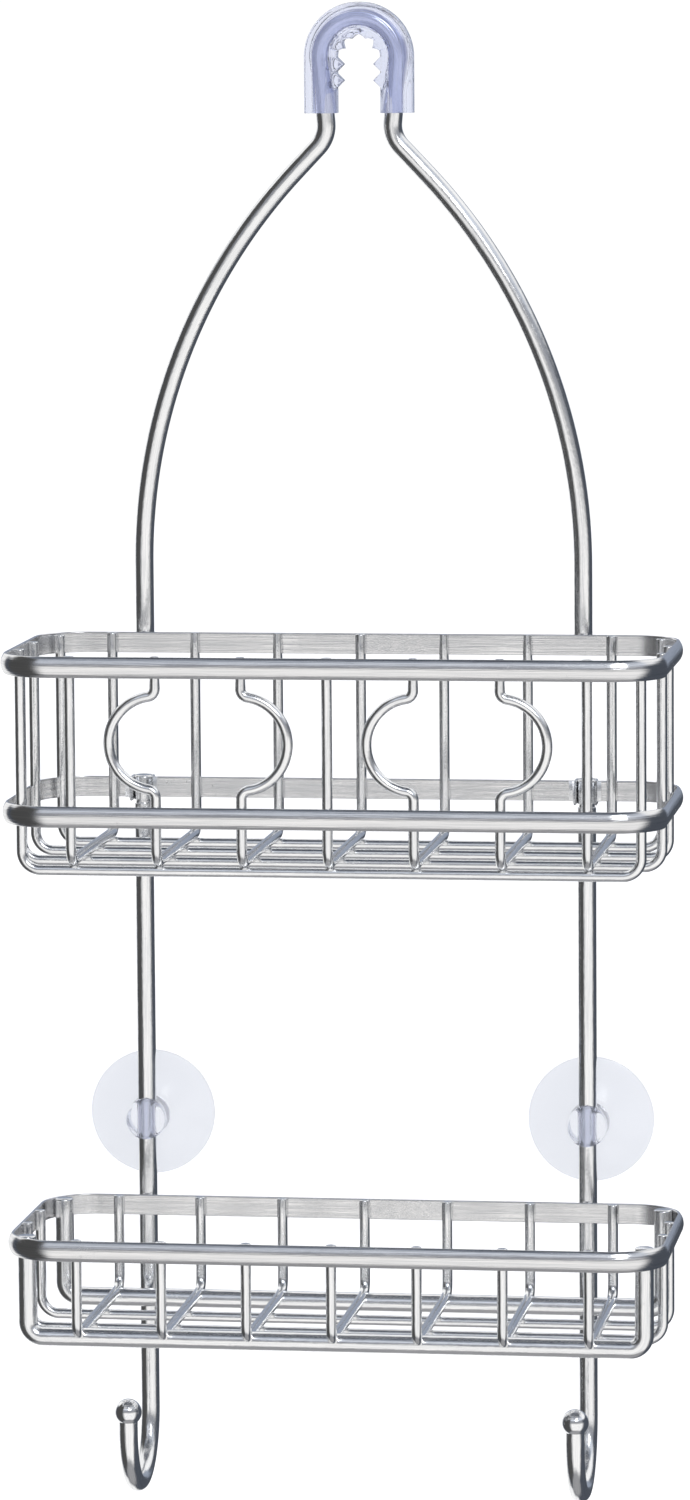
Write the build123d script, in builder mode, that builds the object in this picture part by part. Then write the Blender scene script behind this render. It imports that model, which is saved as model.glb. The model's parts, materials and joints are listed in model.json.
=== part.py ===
from build123d import *
import os
from math import atan2, cos, radians, sin, sqrt, tan

os.makedirs("parts", exist_ok=True)

# Two-basket hanging shower caddy, in millimetres.
# +Z is up, the open fronts of the baskets face -Y, the wall is on the +Y side.
# The origin is the centre of the hook's inside curve, in the plane of the hanging rods.

# ---- stock sizes
rod_d = 7.2  # hanger, uprights and the two thick basket rails
wire_d = 4.0  # basket wires
band_height = 8.0  # flat-backed half-oval bar of the three rims
band_thick = 2.4
band_edge = 0.9  # thickness of that bar at its top and bottom edges
weld = 0.3  # how far welded pieces sink into each other
press = 0.05  # how much smaller a pressed bore is than its rod, on the radius
rod_end_round = 0.8
wire_end_round = 0.5

# ---- overall sizes
rim_width = 252.0
rim_depth = 100.2
corner_r = 21.0
top_rim_drop = 224.9  # origin down to the middle of the top rim
upper_basket_step = 56.3  # middle of the top rim to the middle of the middle rim
lower_basket_step = 164.9  # middle of the middle rim to the middle of the lower rim
towel_hook_drop = 109.0  # middle of the lower rim to the underside of the towel hooks
upper_basket_drop = 17.2  # middle rim to the floor wires of the upper basket
lower_basket_drop = 32.9  # lower rim to the floor wires of the lower basket

# ---- hanger arch and its sleeve
arch_leg_inset = 40.6  # end of the rim in to the legs of the arch
arch_leg_straight = 34.4  # foot of each leg up to where the big curve starts
shoulder_straight = 18.8  # between the big curve and the neck
neck_drop = 30.4  # origin down to the corner of the neck
neck_r = 12.0
crown_r = 15.0
crown_lean = 4.9  # degrees that the hook's legs lean in
sleeve_inner_wall = 2.9  # from the rod to the sleeve's inside, at the crown
sleeve_outer_wall = 2.3
sleeve_side_wall = 2.6
sleeve_corner_r = 3.4
sleeve_leg = 21.4
flute_r = 0.9  # shallow flutes that run along the sleeve
flute_depth = 0.55
flute_offset = 2.6
tooth_height = 2.7
tooth_pitch = 6.2
tooth_half = 2.67  # half of a tooth's width at its root
tooth_root = 0.6  # how far a tooth reaches back into the wall
tooth_first_drop = 2.8
leg_teeth = 2
# teeth round the curve: angle above the legs, half spread in degrees, how much shorter
crown_teeth = ((30, 14, 0.4), (69, 17, 1.6))
tooth_side_gap = 1.0  # teeth stop short of the sleeve's two faces

# ---- basket wires
cross_count = 7
cross_inset = 28.95  # end of the rim in to the first cross wire
cross_bend = 6.0
long_bend = 7.0
rail_bend = 5.6
bulge_r = 17.6
bulge_blend = 3.2
bulge_drop = 28.4  # upper rim down to the middle of a bulge
long_inset = 4.7  # first floor wire behind the front legs
rail_inset = 7.7
rail_drop = 1.9  # thick rails below the lower floor wires
long_top_drop = 0.6  # ends of the upper long wires below the top of the rim

# ---- uprights, socket clips, towel hooks
upright_inset = 39.4  # end of the rim in to the uprights
hook_r = 25.0
hook_lip = 7.2
ball_d = 10.4
ball_seat = 0.4  # tip of the hook below the middle of the ball
clip_sheet = 0.8
clip_width = 12.4
clip_lip = 1.6
clip_gap = 0.1  # between the channel and each cut end of the rim
clip_bite = 0.1  # how far the clip's ears sink into the rim
clip_bevel = 0.3
groove_r = 1.0
groove_depth = 0.5
groove_drop = 2.3  # lower edge of the middle rim down to the groove

# ---- suction cups
cup_drop = 131.0  # middle rim down to the cups
cup_d = 49.2
knob_d = 15.9
knob_front = 6.4
wall_gap = 13.6  # rod axis to the wall
cup_bore_clear = 0.08
knob_bevel = 1.2
knob_bevel_step = 0.35
waist_start = 7.6  # wall out to the groove behind the knob
waist_full = 6.9
waist_end = 6.3
waist_depth = 0.9
disc_root = 5.4  # wall out to the front of the disc beside the knob
disc_root_wide = 1.6
disc_mid = 3.5
disc_mid_wide = 9.4
disc_edge = 0.9
disc_lip = 0.4
lip_slope = 0.6
lip_land = 1.0
dish_depth = 3.2
dish_flat_r = 4.0
dish_mid = 2.3
dish_mid_wide = 7.0

# ---- derived sizes and positions
rod_r = rod_d / 2
wire_r = wire_d / 2
half_band = band_height / 2
rim_back = -rod_r + weld
rim_front = rim_back - rim_depth
rim_mid = (rim_back + rim_front) / 2
leg_back = rim_back - band_thick - wire_r + weld
leg_front = rim_front + band_thick + wire_r - weld
top_rim_z = -top_rim_drop
middle_rim_z = top_rim_z - upper_basket_step
lower_rim_z = middle_rim_z - lower_basket_step
upper_floor_z = middle_rim_z - upper_basket_drop
lower_floor_z = lower_rim_z - lower_basket_drop
hook_bottom_z = lower_rim_z - towel_hook_drop + rod_r
hook_centre_z = hook_bottom_z + hook_r
ball_z = hook_centre_z + hook_lip + ball_seat
cup_z = middle_rim_z - cup_drop
arch_leg_x = rim_width / 2 - arch_leg_inset
upright_x = rim_width / 2 - upright_inset
cross_pitch = (rim_width - 2 * cross_inset) / (cross_count - 1)
cross_x = [cross_pitch * (i - (cross_count - 1) / 2) for i in range(cross_count)]
bulge_side = {1: -1, 2: 1, 4: -1, 5: 1}  # which upper cross wires bulge, and which way
sleeve_inner_r = crown_r - rod_r - sleeve_inner_wall
sleeve_outer_r = crown_r + rod_r + sleeve_outer_wall
sleeve_depth = rod_d + 2 * sleeve_side_wall


def save(part, label):
    """Labels a finished piece and writes it to its own file."""
    part.label = label
    export_step(part, "parts/" + label + ".step")


def bend_points(before, corner, after, radius):
    """Start, middle and end of the arc that rounds a corner in the plane of its two legs."""
    u = (Vector(*before) - Vector(*corner)).normalized()
    v = (Vector(*after) - Vector(*corner)).normalized()
    half = u.get_angle(v) / 2
    reach = radius / tan(radians(half))
    axis = (u + v).normalized()
    centre = Vector(*corner) + axis * (radius / sin(radians(half)))
    return (
        Vector(*corner) + u * reach,
        centre - axis * radius,
        Vector(*corner) + v * reach,
    )


def bent_rod(corners, bend, diameter, end_round):
    """A rod through straight legs with a bend at every inside corner."""
    with BuildPart() as rod:
        with BuildLine() as path:
            last = Vector(*corners[0])
            for i in range(1, len(corners) - 1):
                start, middle, end = bend_points(corners[i - 1], corners[i], corners[i + 1], bend)
                Line(last, start)
                ThreePointArc(start, middle, end)
                last = end
            Line(last, Vector(*corners[-1]))
        with BuildSketch(Plane(origin=path.wires()[0] @ 0, z_dir=path.wires()[0] % 0)):
            Circle(diameter / 2)
        sweep()
        fillet(rod.faces().filter_by(GeomType.PLANE).edges(), end_round)
    return rod


def end_x(y, radius):
    """How far out a wire stands when it touches the inside of a rim at depth y."""
    reach = corner_r - band_thick - radius + weld
    centre_x = rim_width / 2 - corner_r
    front_centre = rim_front + corner_r
    back_centre = rim_back - corner_r
    off = max(front_centre - y, y - back_centre, 0.0)
    return centre_x + sqrt(reach**2 - off**2)


# ---------------------------------------------------------------- hanger arch


def hook_outline():
    """Right half of the hanger's centreline, from the leg's foot to the crown.

    The big curve stands on the straight leg and is tangent to the shoulder, a straight
    of given length that ends at the corner of the neck.
    """
    foot_z = top_rim_z - half_band
    base_z = foot_z + arch_leg_straight
    crown_x = crown_r * cos(radians(crown_lean))
    crown_z = -crown_r * sin(radians(crown_lean))
    neck_z = -neck_drop
    neck_x = crown_x + (neck_z - crown_z) * tan(radians(crown_lean))
    across = arch_leg_x - neck_x
    up = neck_z - base_z
    arch_r = (across**2 + up**2 - shoulder_straight**2) / (2 * across)
    a = atan2(up, arch_r - across) - atan2(shoulder_straight, arch_r)
    centre_x = arch_leg_x - arch_r
    return {
        "foot": (arch_leg_x, 0, foot_z),
        "base": (arch_leg_x, 0, base_z),
        "mid": (centre_x + arch_r * cos(a / 2), 0, base_z + arch_r * sin(a / 2)),
        "shoulder": (centre_x + arch_r * cos(a), 0, base_z + arch_r * sin(a)),
        "neck": (neck_x, 0, neck_z),
        "crown_end": (crown_x, 0, crown_z),
    }


def flip(point):
    """The same point on the left-hand side."""
    return (-point[0], point[1], point[2])


def hanger_path():
    """Centreline of the whole hanger, drawn inside a BuildLine."""
    p = hook_outline()
    start, middle, end = bend_points(p["shoulder"], p["neck"], p["crown_end"], neck_r)
    start, middle, end = tuple(start), tuple(middle), tuple(end)
    Line(p["foot"], p["base"])
    ThreePointArc(p["base"], p["mid"], p["shoulder"])
    Line(p["shoulder"], start)
    ThreePointArc(start, middle, end)
    Line(end, p["crown_end"])
    ThreePointArc(p["crown_end"], (0, 0, crown_r), flip(p["crown_end"]))
    Line(flip(p["crown_end"]), flip(end))
    ThreePointArc(flip(end), flip(middle), flip(start))
    Line(flip(start), flip(p["shoulder"]))
    ThreePointArc(flip(p["shoulder"]), flip(p["mid"]), flip(p["base"]))
    Line(flip(p["base"]), flip(p["foot"]))


def make_hanger_arch():
    """Bent rod that stands on the back of the top rim and hooks over the shower arm."""
    with BuildPart() as hanger_arch:
        with BuildLine():
            hanger_path()
        with BuildSketch(Plane(origin=hook_outline()["foot"], z_dir=(0, 0, 1))):
            Circle(rod_r)
        sweep()
        fillet(hanger_arch.faces().filter_by(GeomType.PLANE).edges(), rod_end_round)
    save(hanger_arch.part, "hanger_arch")


def teeth_outlines():
    """Outlines of the grip teeth of the right-hand half of the sleeve, as (x, z) points."""
    root = sleeve_inner_r + tooth_root
    tip = sleeve_inner_r - tooth_height
    outlines = []
    for i in range(leg_teeth):
        z = -tooth_first_drop - tooth_pitch * i
        outlines.append([(root, z + tooth_half), (tip, z), (root, z - tooth_half)])
    for angle, spread, shorter in crown_teeth:
        reach = tip + shorter
        ends = [(root, angle - spread), (reach, angle), (root, angle + spread)]
        outlines.append([(r * cos(radians(a)), r * sin(radians(a))) for r, a in ends])
    return outlines


def make_hook_sleeve():
    """Clear vinyl sleeve over the hook, with grip teeth on the inside."""
    middle_r = (sleeve_inner_r + sleeve_outer_r) / 2
    wall = sleeve_outer_r - sleeve_inner_r
    with BuildPart() as hook_sleeve:
        with BuildLine():
            Line((middle_r, 0, -sleeve_leg), (middle_r, 0, 0))
            ThreePointArc((middle_r, 0, 0), (0, 0, middle_r), (-middle_r, 0, 0))
            Line((-middle_r, 0, 0), (-middle_r, 0, -sleeve_leg))
        with BuildSketch(Plane(origin=(middle_r, 0, -sleeve_leg), z_dir=(0, 0, 1), x_dir=(1, 0, 0))):
            RectangleRounded(wall, sleeve_depth, sleeve_corner_r)
            with GridLocations(2 * flute_offset, sleeve_depth + 2 * (flute_r - flute_depth), 2, 2):
                Circle(flute_r, mode=Mode.SUBTRACT)
        sweep()
        with BuildSketch(Plane.XZ.offset(tooth_side_gap - sleeve_depth / 2)):
            for outline in teeth_outlines():
                Polygon(*outline, align=None)
                Polygon(*[(-x, z) for x, z in reversed(outline)], align=None)
        extrude(amount=sleeve_depth - 2 * tooth_side_gap)
        with BuildLine(mode=Mode.PRIVATE) as bore_path:
            hanger_path()
        with BuildSketch(Plane(origin=hook_outline()["foot"], z_dir=(0, 0, 1)), mode=Mode.PRIVATE) as bore:
            Circle(rod_r - press)
        sweep(sections=bore.sketch, path=bore_path.wires()[0], mode=Mode.SUBTRACT)
    save(hook_sleeve.part, "hook_sleeve")


# ----------------------------------------------------------------------- rims


def rim_band(rim_z):
    """One closed rim of half-oval bar, flat on the inside."""
    inner_x = rim_width - 2 * band_thick
    inner_y = rim_depth - 2 * band_thick
    start = Plane(origin=(0, rim_front + band_thick, rim_z), x_dir=(0, -1, 0), z_dir=(1, 0, 0))
    with BuildPart() as rim:
        with BuildSketch(start):
            with BuildLine():
                Polyline(
                    (band_edge, half_band),
                    (0, half_band),
                    (0, -half_band),
                    (band_edge, -half_band),
                )
                ThreePointArc((band_edge, -half_band), (band_thick, 0), (band_edge, half_band))
            make_face()
        with BuildSketch(Plane.XY.offset(rim_z), mode=Mode.PRIVATE) as loop:
            with Locations((0, rim_mid)):
                RectangleRounded(inner_x, inner_y, corner_r - band_thick)
        sweep(path=loop.sketch.faces()[0].outer_wire())
    return rim


def make_middle_rim():
    """The middle rim is cut at the back, where the two socket clips bridge it."""
    gap = 2 * (rod_r + clip_sheet + clip_gap)
    with BuildPart() as upper_middle_rim:
        add(rim_band(middle_rim_z).part)
        with Locations((0, rim_back, middle_rim_z)):
            Box(2 * upright_x + gap, 4 * band_thick, 2 * band_height, mode=Mode.SUBTRACT)
    save(upper_middle_rim.part, "upper_middle_rim")
    with BuildPart() as back_bar:
        add(rim_band(middle_rim_z).part)
        with Locations((0, rim_back, middle_rim_z)):
            Box(2 * upright_x - gap, 4 * band_thick, 2 * band_height, mode=Mode.INTERSECT)
    save(back_bar.part, "middle_rim_back_bar")


# --------------------------------------------------------------- basket wires


def bulged_leg(x, side, top_z, centre_z):
    """Front leg of a cross wire with its C-shaped side bulge; returns its last point.

    A small blend arc leads from the leg into the C and another leads back.
    """
    rise = sqrt((bulge_r + bulge_blend) ** 2 - bulge_blend**2)
    share = bulge_r / (bulge_r + bulge_blend)
    blend_x = x + side * bulge_blend
    leg_top = Vector(x, leg_front, centre_z + rise)
    on_top = Vector(x + side * bulge_blend * share, leg_front, centre_z + rise * share)
    blend_centre = Vector(blend_x, leg_front, centre_z + rise)
    # the middle of the blend arc lies half way between its two ends
    middle = (leg_top - blend_centre).normalized() + (on_top - blend_centre).normalized()
    top_mid = blend_centre + middle.normalized() * bulge_blend
    leg_low = Vector(x, leg_front, centre_z - rise)
    on_low = Vector(on_top.X, leg_front, centre_z - rise * share)
    low_mid = Vector(top_mid.X, leg_front, 2 * centre_z - top_mid.Z)
    Line((x, leg_front, top_z), leg_top)
    ThreePointArc(leg_top, top_mid, on_top)
    ThreePointArc(on_top, (x + side * bulge_r, leg_front, centre_z), on_low)
    ThreePointArc(on_low, low_mid, leg_low)
    return leg_low


def cross_wire(x, top_z, floor_z, side):
    """U-shaped wire: front leg, floor, back leg; some front legs bulge sideways."""
    front_corner = (x, leg_front, floor_z)
    back_corner = (x, leg_back, floor_z)
    back_top = (x, leg_back, top_z)
    with BuildPart() as wire:
        with BuildLine():
            last = Vector(x, leg_front, top_z)
            if side:
                last = bulged_leg(x, side, top_z, top_rim_z - bulge_drop)
            front = bend_points(last, front_corner, back_corner, cross_bend)
            back = bend_points(front_corner, back_corner, back_top, cross_bend)
            Line(last, front[0])
            ThreePointArc(*front)
            Line(front[2], back[0])
            ThreePointArc(*back)
            Line(back[2], back_top)
        with BuildSketch(Plane(origin=(x, leg_front, top_z), z_dir=(0, 0, -1))):
            Circle(wire_r)
        sweep()
        fillet(wire.faces().filter_by(GeomType.PLANE).edges(), wire_end_round)
    return wire


def run_positions(inset, count):
    """Depths of the lengthwise pieces, evenly spaced between the two rows of legs."""
    first = leg_front + inset
    pitch = (leg_back - leg_front - 2 * inset) / (count - 1)
    return [first + pitch * i for i in range(count)]


def long_piece(y, z, top, bend, diameter, end_round):
    """Lengthwise wire or rail: floor stretch with both ends turned up inside the rim."""
    x = end_x(y, diameter / 2)
    return bent_rod([(-x, y, top), (-x, y, z), (x, y, z), (x, y, top)], bend, diameter, end_round)


def make_upper_cross_wires():
    """Cross wires of the upper basket, welded inside the top and middle rims."""
    for i, x in enumerate(cross_x):
        wire = cross_wire(x, top_rim_z + half_band, upper_floor_z, bulge_side.get(i, 0))
        save(wire.part, "upper_cross_wire_" + str(i + 1))


def make_upper_long_wires():
    """Lengthwise floor wires under the cross wires, turned up at both ends."""
    top = top_rim_z + half_band - long_top_drop
    z = upper_floor_z - wire_d + weld
    for i, y in enumerate(run_positions(long_inset, 4)):
        wire = long_piece(y, z, top, long_bend, wire_d, wire_end_round)
        save(wire.part, "upper_long_wire_" + str(i + 1))


def make_lower_basket():
    """Cross wires let into the two thick rails, with two thin wires between the rails."""
    top = lower_rim_z + half_band
    wires = [cross_wire(x, top, lower_floor_z, 0) for x in cross_x]
    for i, wire in enumerate(wires):
        save(wire.part, "lower_cross_wire_" + str(i + 1))
    front_y, *thin_y, back_y = run_positions(rail_inset, 4)
    for y, label in ((front_y, "lower_front_rail"), (back_y, "lower_back_rail")):
        with BuildPart() as rail:
            add(long_piece(y, lower_floor_z - rail_drop, top, rail_bend, rod_d, rod_end_round).part)
            # each cross wire lies in its own notch
            for wire in wires:
                add(wire.part, mode=Mode.SUBTRACT)
        save(rail.part, label)
    for i, y in enumerate(thin_y):
        wire = long_piece(y, lower_floor_z - wire_d + weld, top, long_bend, wire_d, wire_end_round)
        save(wire.part, "lower_long_wire_" + str(i + 1))


# ----------------------------------------- uprights, clips, balls and cups


def make_upright(side, name):
    """Upright rod that ends in a forward J for towels; its head plugs into the socket clip."""
    x = side * upright_x
    head = middle_rim_z + half_band
    groove_z = middle_rim_z - half_band - groove_drop
    with BuildPart() as upright:
        with BuildLine():
            Line((x, 0, head), (x, 0, hook_centre_z))
            ThreePointArc(
                (x, 0, hook_centre_z), (x, -hook_r, hook_bottom_z), (x, -2 * hook_r, hook_centre_z)
            )
            Line((x, -2 * hook_r, hook_centre_z), (x, -2 * hook_r, hook_centre_z + hook_lip))
        with BuildSketch(Plane(origin=(x, 0, head), z_dir=(0, 0, -1))):
            Circle(rod_r)
        sweep()
        fillet(upright.faces().filter_by(GeomType.PLANE).edges(), rod_end_round)
        with Locations((x, 0, groove_z)):
            Torus(rod_r + groove_r - groove_depth, groove_r, mode=Mode.SUBTRACT)
    save(upright.part, name + "_upright")


def make_hook_ball(side, name):
    """Ball pressed over the tip of the towel hook."""
    x = side * upright_x
    with BuildPart() as hook_ball:
        with Locations((x, -2 * hook_r, ball_z)):
            Sphere(ball_d / 2)
        with BuildSketch(Plane.XY.offset(ball_z - ball_d)):
            with Locations((x, -2 * hook_r)):
                Circle(rod_r - press)
        extrude(amount=ball_d - ball_seat + press, mode=Mode.SUBTRACT)
    save(hook_ball.part, name + "_hook_ball")


def omega_outline(x, ear_front):
    """Channel of the clip that runs back from its ears and round the rod, in a BuildSketch."""
    outer = rod_r + clip_sheet
    grip = rod_r - press
    with Locations((x, ear_front / 2)):
        Rectangle(2 * outer, -ear_front)
    with Locations((x, 0)):
        Circle(outer)
    with Locations((x, ear_front)):
        Rectangle(2 * grip, -2 * ear_front, mode=Mode.SUBTRACT)
    with Locations((x, 0)):
        Circle(grip, mode=Mode.SUBTRACT)


def make_socket_clip(side, name):
    """Pressed omega clip that bridges the middle rim and grips the head of an upright."""
    x = side * upright_x
    low = middle_rim_z - half_band
    ear_front = rim_back - band_thick - clip_sheet + clip_bite
    with BuildPart() as clip:
        with BuildSketch(Plane.XY.offset(low)):
            with Locations((x, ear_front + clip_sheet / 2)):
                Rectangle(clip_width, clip_sheet)
            omega_outline(x, ear_front)
        extrude(amount=band_height)
        # the channel's short lower lip
        with BuildSketch(Plane.XY.offset(low - clip_lip)):
            omega_outline(x, ear_front)
        extrude(amount=clip_lip)
        around_rod = clip.faces().sort_by(Axis.Z)[0].edges().sort_by(SortBy.LENGTH)[-1]
        chamfer(around_rod, clip_bevel)
    save(clip.part, name + "_socket_clip")


def make_suction_cup(side, name):
    """Soft clear cup: a thin dished disc with a knob that the upright passes through."""
    x = side * upright_x
    r = cup_d / 2
    k = knob_d / 2
    w = wall_gap
    waist = k - waist_depth
    with BuildPart() as cup:
        with BuildSketch(Plane(origin=(x, 0, cup_z), x_dir=(1, 0, 0), z_dir=(0, 0, 1))):
            with BuildLine():
                Polyline(
                    (0, -knob_front),
                    (k - knob_bevel, -knob_front),
                    (k - knob_bevel_step, knob_bevel_step - knob_front),
                    (k, knob_bevel - knob_front),
                    (k, w - waist_start),
                    (waist, w - waist_full),
                    (waist, w - waist_end),
                    (k + disc_root_wide, w - disc_root),
                )
                ThreePointArc(
                    (k + disc_root_wide, w - disc_root),
                    (k + disc_mid_wide, w - disc_mid),
                    (r - lip_slope, w - disc_edge),
                )
                Polyline((r - lip_slope, w - disc_edge), (r, w - disc_lip), (r, w), (r - lip_land, w))
                ThreePointArc(
                    (r - lip_land, w),
                    (k + dish_mid_wide, w - dish_mid),
                    (dish_flat_r, w - dish_depth),
                )
                Polyline((dish_flat_r, w - dish_depth), (0, w - dish_depth), (0, -knob_front))
            make_face()
        revolve(axis=Axis((x, 0, cup_z), (0, 1, 0)))
        with BuildSketch(Plane.XY.offset(cup_z - knob_d)):
            with Locations((x, 0)):
                Circle(rod_r + cup_bore_clear)
        extrude(amount=2 * knob_d, mode=Mode.SUBTRACT)
    save(cup.part, name + "_suction_cup")


make_hanger_arch()
make_hook_sleeve()
save(rim_band(top_rim_z).part, "upper_top_rim")
make_middle_rim()
save(rim_band(lower_rim_z).part, "lower_rim")
make_upper_cross_wires()
make_upper_long_wires()
make_lower_basket()
for side, name in ((-1, "left"), (1, "right")):
    make_upright(side, name)
    make_hook_ball(side, name)
    make_socket_clip(side, name)
    make_suction_cup(side, name)
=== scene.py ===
"""Finish of a two-basket hanging shower caddy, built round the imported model.

Every rod, wire, bar, clip, ball and cup is a numpy surface: a cross-section carried along a
centreline, or a profile turned about an axis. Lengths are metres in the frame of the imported
model: +Z up, -Y the open front, +Y the wall, origin in the middle of the hook.
"""

import json
import logging
import math
from dataclasses import dataclass
from enum import Enum

import bpy
import numpy as np
from mathutils import Matrix, Vector


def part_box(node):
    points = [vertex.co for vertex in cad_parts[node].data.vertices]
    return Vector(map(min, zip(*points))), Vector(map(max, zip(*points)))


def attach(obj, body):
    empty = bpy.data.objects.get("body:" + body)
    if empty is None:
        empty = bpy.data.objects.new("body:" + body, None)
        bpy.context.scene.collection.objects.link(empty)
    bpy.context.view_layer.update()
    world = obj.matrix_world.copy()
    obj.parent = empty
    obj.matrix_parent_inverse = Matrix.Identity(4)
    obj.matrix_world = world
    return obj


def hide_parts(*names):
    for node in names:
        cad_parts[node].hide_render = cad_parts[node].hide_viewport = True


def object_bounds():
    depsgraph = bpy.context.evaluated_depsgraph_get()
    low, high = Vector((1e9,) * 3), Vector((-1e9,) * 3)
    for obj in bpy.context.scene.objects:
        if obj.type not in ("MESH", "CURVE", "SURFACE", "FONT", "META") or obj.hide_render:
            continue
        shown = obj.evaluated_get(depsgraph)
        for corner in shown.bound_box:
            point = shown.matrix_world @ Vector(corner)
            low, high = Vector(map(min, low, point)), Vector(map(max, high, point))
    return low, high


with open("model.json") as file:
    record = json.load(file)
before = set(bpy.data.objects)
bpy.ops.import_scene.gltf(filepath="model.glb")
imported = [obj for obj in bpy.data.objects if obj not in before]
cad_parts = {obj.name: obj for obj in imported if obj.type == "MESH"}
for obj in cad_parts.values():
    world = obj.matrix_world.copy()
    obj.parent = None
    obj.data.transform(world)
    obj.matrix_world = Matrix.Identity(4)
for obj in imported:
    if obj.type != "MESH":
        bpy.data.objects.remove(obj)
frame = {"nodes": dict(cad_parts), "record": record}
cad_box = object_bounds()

LOG = logging.getLogger("caddy")
MM = 0.001
QUARTER = math.pi / 2
SHARP = math.radians(50)  # faces that meet at more than this are shaded as a crease
SAME_POINT = 1e-7  # points closer than this are one
LONG_STEP = 0.03  # distance between points on a long straight run
SLACK = 0.1 * MM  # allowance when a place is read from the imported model
ROD_SIDES, WIRE_SIDES = 40, 24
ROD_ROUND, WIRE_ROUND = 0.8 * MM, 0.5 * MM  # radii of the rims of the cut ends
BODIES = frame["record"]["behaviour"]["bodies"]


class Side(Enum):
    """Left or right twin of a piece."""

    LEFT = "left"
    RIGHT = "right"


class Slot(Enum):
    """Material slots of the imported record."""

    THICK_ROD = "thick_rod"
    BASKET_WIRE = "basket_wire"
    BRUSHED_BAR = "brushed_bar"
    CLIP_SHEET = "clip_sheet"
    BRIGHT_BALL = "bright_ball"
    CLEAR_VINYL = "clear_vinyl"
    CLEAR_CUP = "clear_cup"


# ---------------------------------------------------------------- centrelines and outlines


def unit(vectors: np.ndarray) -> np.ndarray:
    """The vectors along the last axis, each brought to length one."""
    return vectors / np.linalg.norm(vectors, axis=-1, keepdims=True)


def on_circle(centre: tuple[float, float], radius: float, angles: np.ndarray) -> np.ndarray:
    """Points of a circle at the given angles: centre + radius (cos a, sin a)."""
    return np.array(centre, float) + radius * np.stack([np.cos(angles), np.sin(angles)], axis=1)


def distances(points: np.ndarray) -> np.ndarray:
    """Distance along a path from its first point to each of its points."""
    return np.concatenate([[0.0], np.cumsum(np.linalg.norm(np.diff(points, axis=0), axis=1))])


def run(start: tuple[float, float], end: tuple[float, float], step: float = 0.012) -> np.ndarray:
    """Evenly spaced points on a straight run.

    Args:
        start: first point in the plane of the path.
        end: last point.
        step: longest distance between two points.

    Returns:
        Points as an (n, 2) array; a point is start + t (end - start).
    """
    a, b = np.array(start, float), np.array(end, float)
    count = max(2, int(np.linalg.norm(b - a) / step) + 2)
    t = np.linspace(0.0, 1.0, count)[:, None]
    return a + t * (b - a)


def arc(
    centre: tuple[float, float], radius: float, start: float, end: float, step: float = 0.1
) -> np.ndarray:
    """Evenly spaced points on an arc: centre + radius (cos a, sin a), a from start to end.

    Args:
        centre: centre in the plane of the path.
        radius: radius of the arc.
        start: first angle in radians.
        end: last angle in radians.
        step: largest angle between two points.

    Returns:
        Points as an (n, 2) array.
    """
    count = max(3, int(abs(end - start) / step) + 2)
    return on_circle(centre, radius, np.linspace(start, end, count))


def joined(*pieces: np.ndarray) -> np.ndarray:
    """Lays stretches end to end and keeps points that coincide once.

    Args:
        pieces: (n, 2) points of each stretch.

    Returns:
        Points as an (n, 2) array.
    """
    points = np.concatenate(pieces)
    gaps = np.linalg.norm(np.diff(points, axis=0), axis=1)
    return points[np.concatenate([[True], gaps > SAME_POINT])]


def mirrored(half: np.ndarray) -> np.ndarray:
    """A whole path from one half that ends on the middle line."""
    return joined(half, half[::-1] * (-1.0, 1.0))


def fillet(
    before: tuple[float, float], corner: tuple[float, float], after: tuple[float, float], radius: float
) -> tuple[np.ndarray, float, float, np.ndarray]:
    """Arc that is tangent to both legs of a corner.

    With h half of the corner's angle, its middle lies radius / sin(h) from the corner on
    the bisector, and it touches each leg radius / tan(h) from the corner.

    Args:
        before: a point on the first leg.
        corner: the corner.
        after: a point on the second leg.
        radius: radius of the arc.

    Returns:
        Middle of the arc, its first angle, its signed turn and its (2, 2) end points.
    """
    c = np.array(corner, float)
    legs = unit(np.array([before, after], float) - c)
    half = math.acos(float(np.clip(legs[0] @ legs[1], -1, 1))) / 2
    middle = c + unit(legs.sum(axis=0)) * radius / math.sin(half)
    ends = c + legs * radius / math.tan(half)
    first, last = (math.atan2(*(end - middle)[::-1]) for end in ends)
    turn = (last - first + math.pi) % (2 * math.pi) - math.pi
    return middle, first, turn, ends


def bent(corners: list[tuple[float, float]], radius: float) -> np.ndarray:
    """Straight legs with one bend radius at every inside corner.

    Args:
        corners: the corners of the path, with its two ends.
        radius: bend radius on the centreline.

    Returns:
        Points as an (n, 2) array.
    """
    stretches, last = [], corners[0]
    for before, corner, after in zip(corners, corners[1:], corners[2:]):
        middle, start, turn, ends = fillet(before, corner, after, radius)
        stretches += [run(last, ends[0]), arc(middle, radius, start, start + turn)]
        last = ends[1]
    return joined(*stretches, run(last, corners[-1]))


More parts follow.
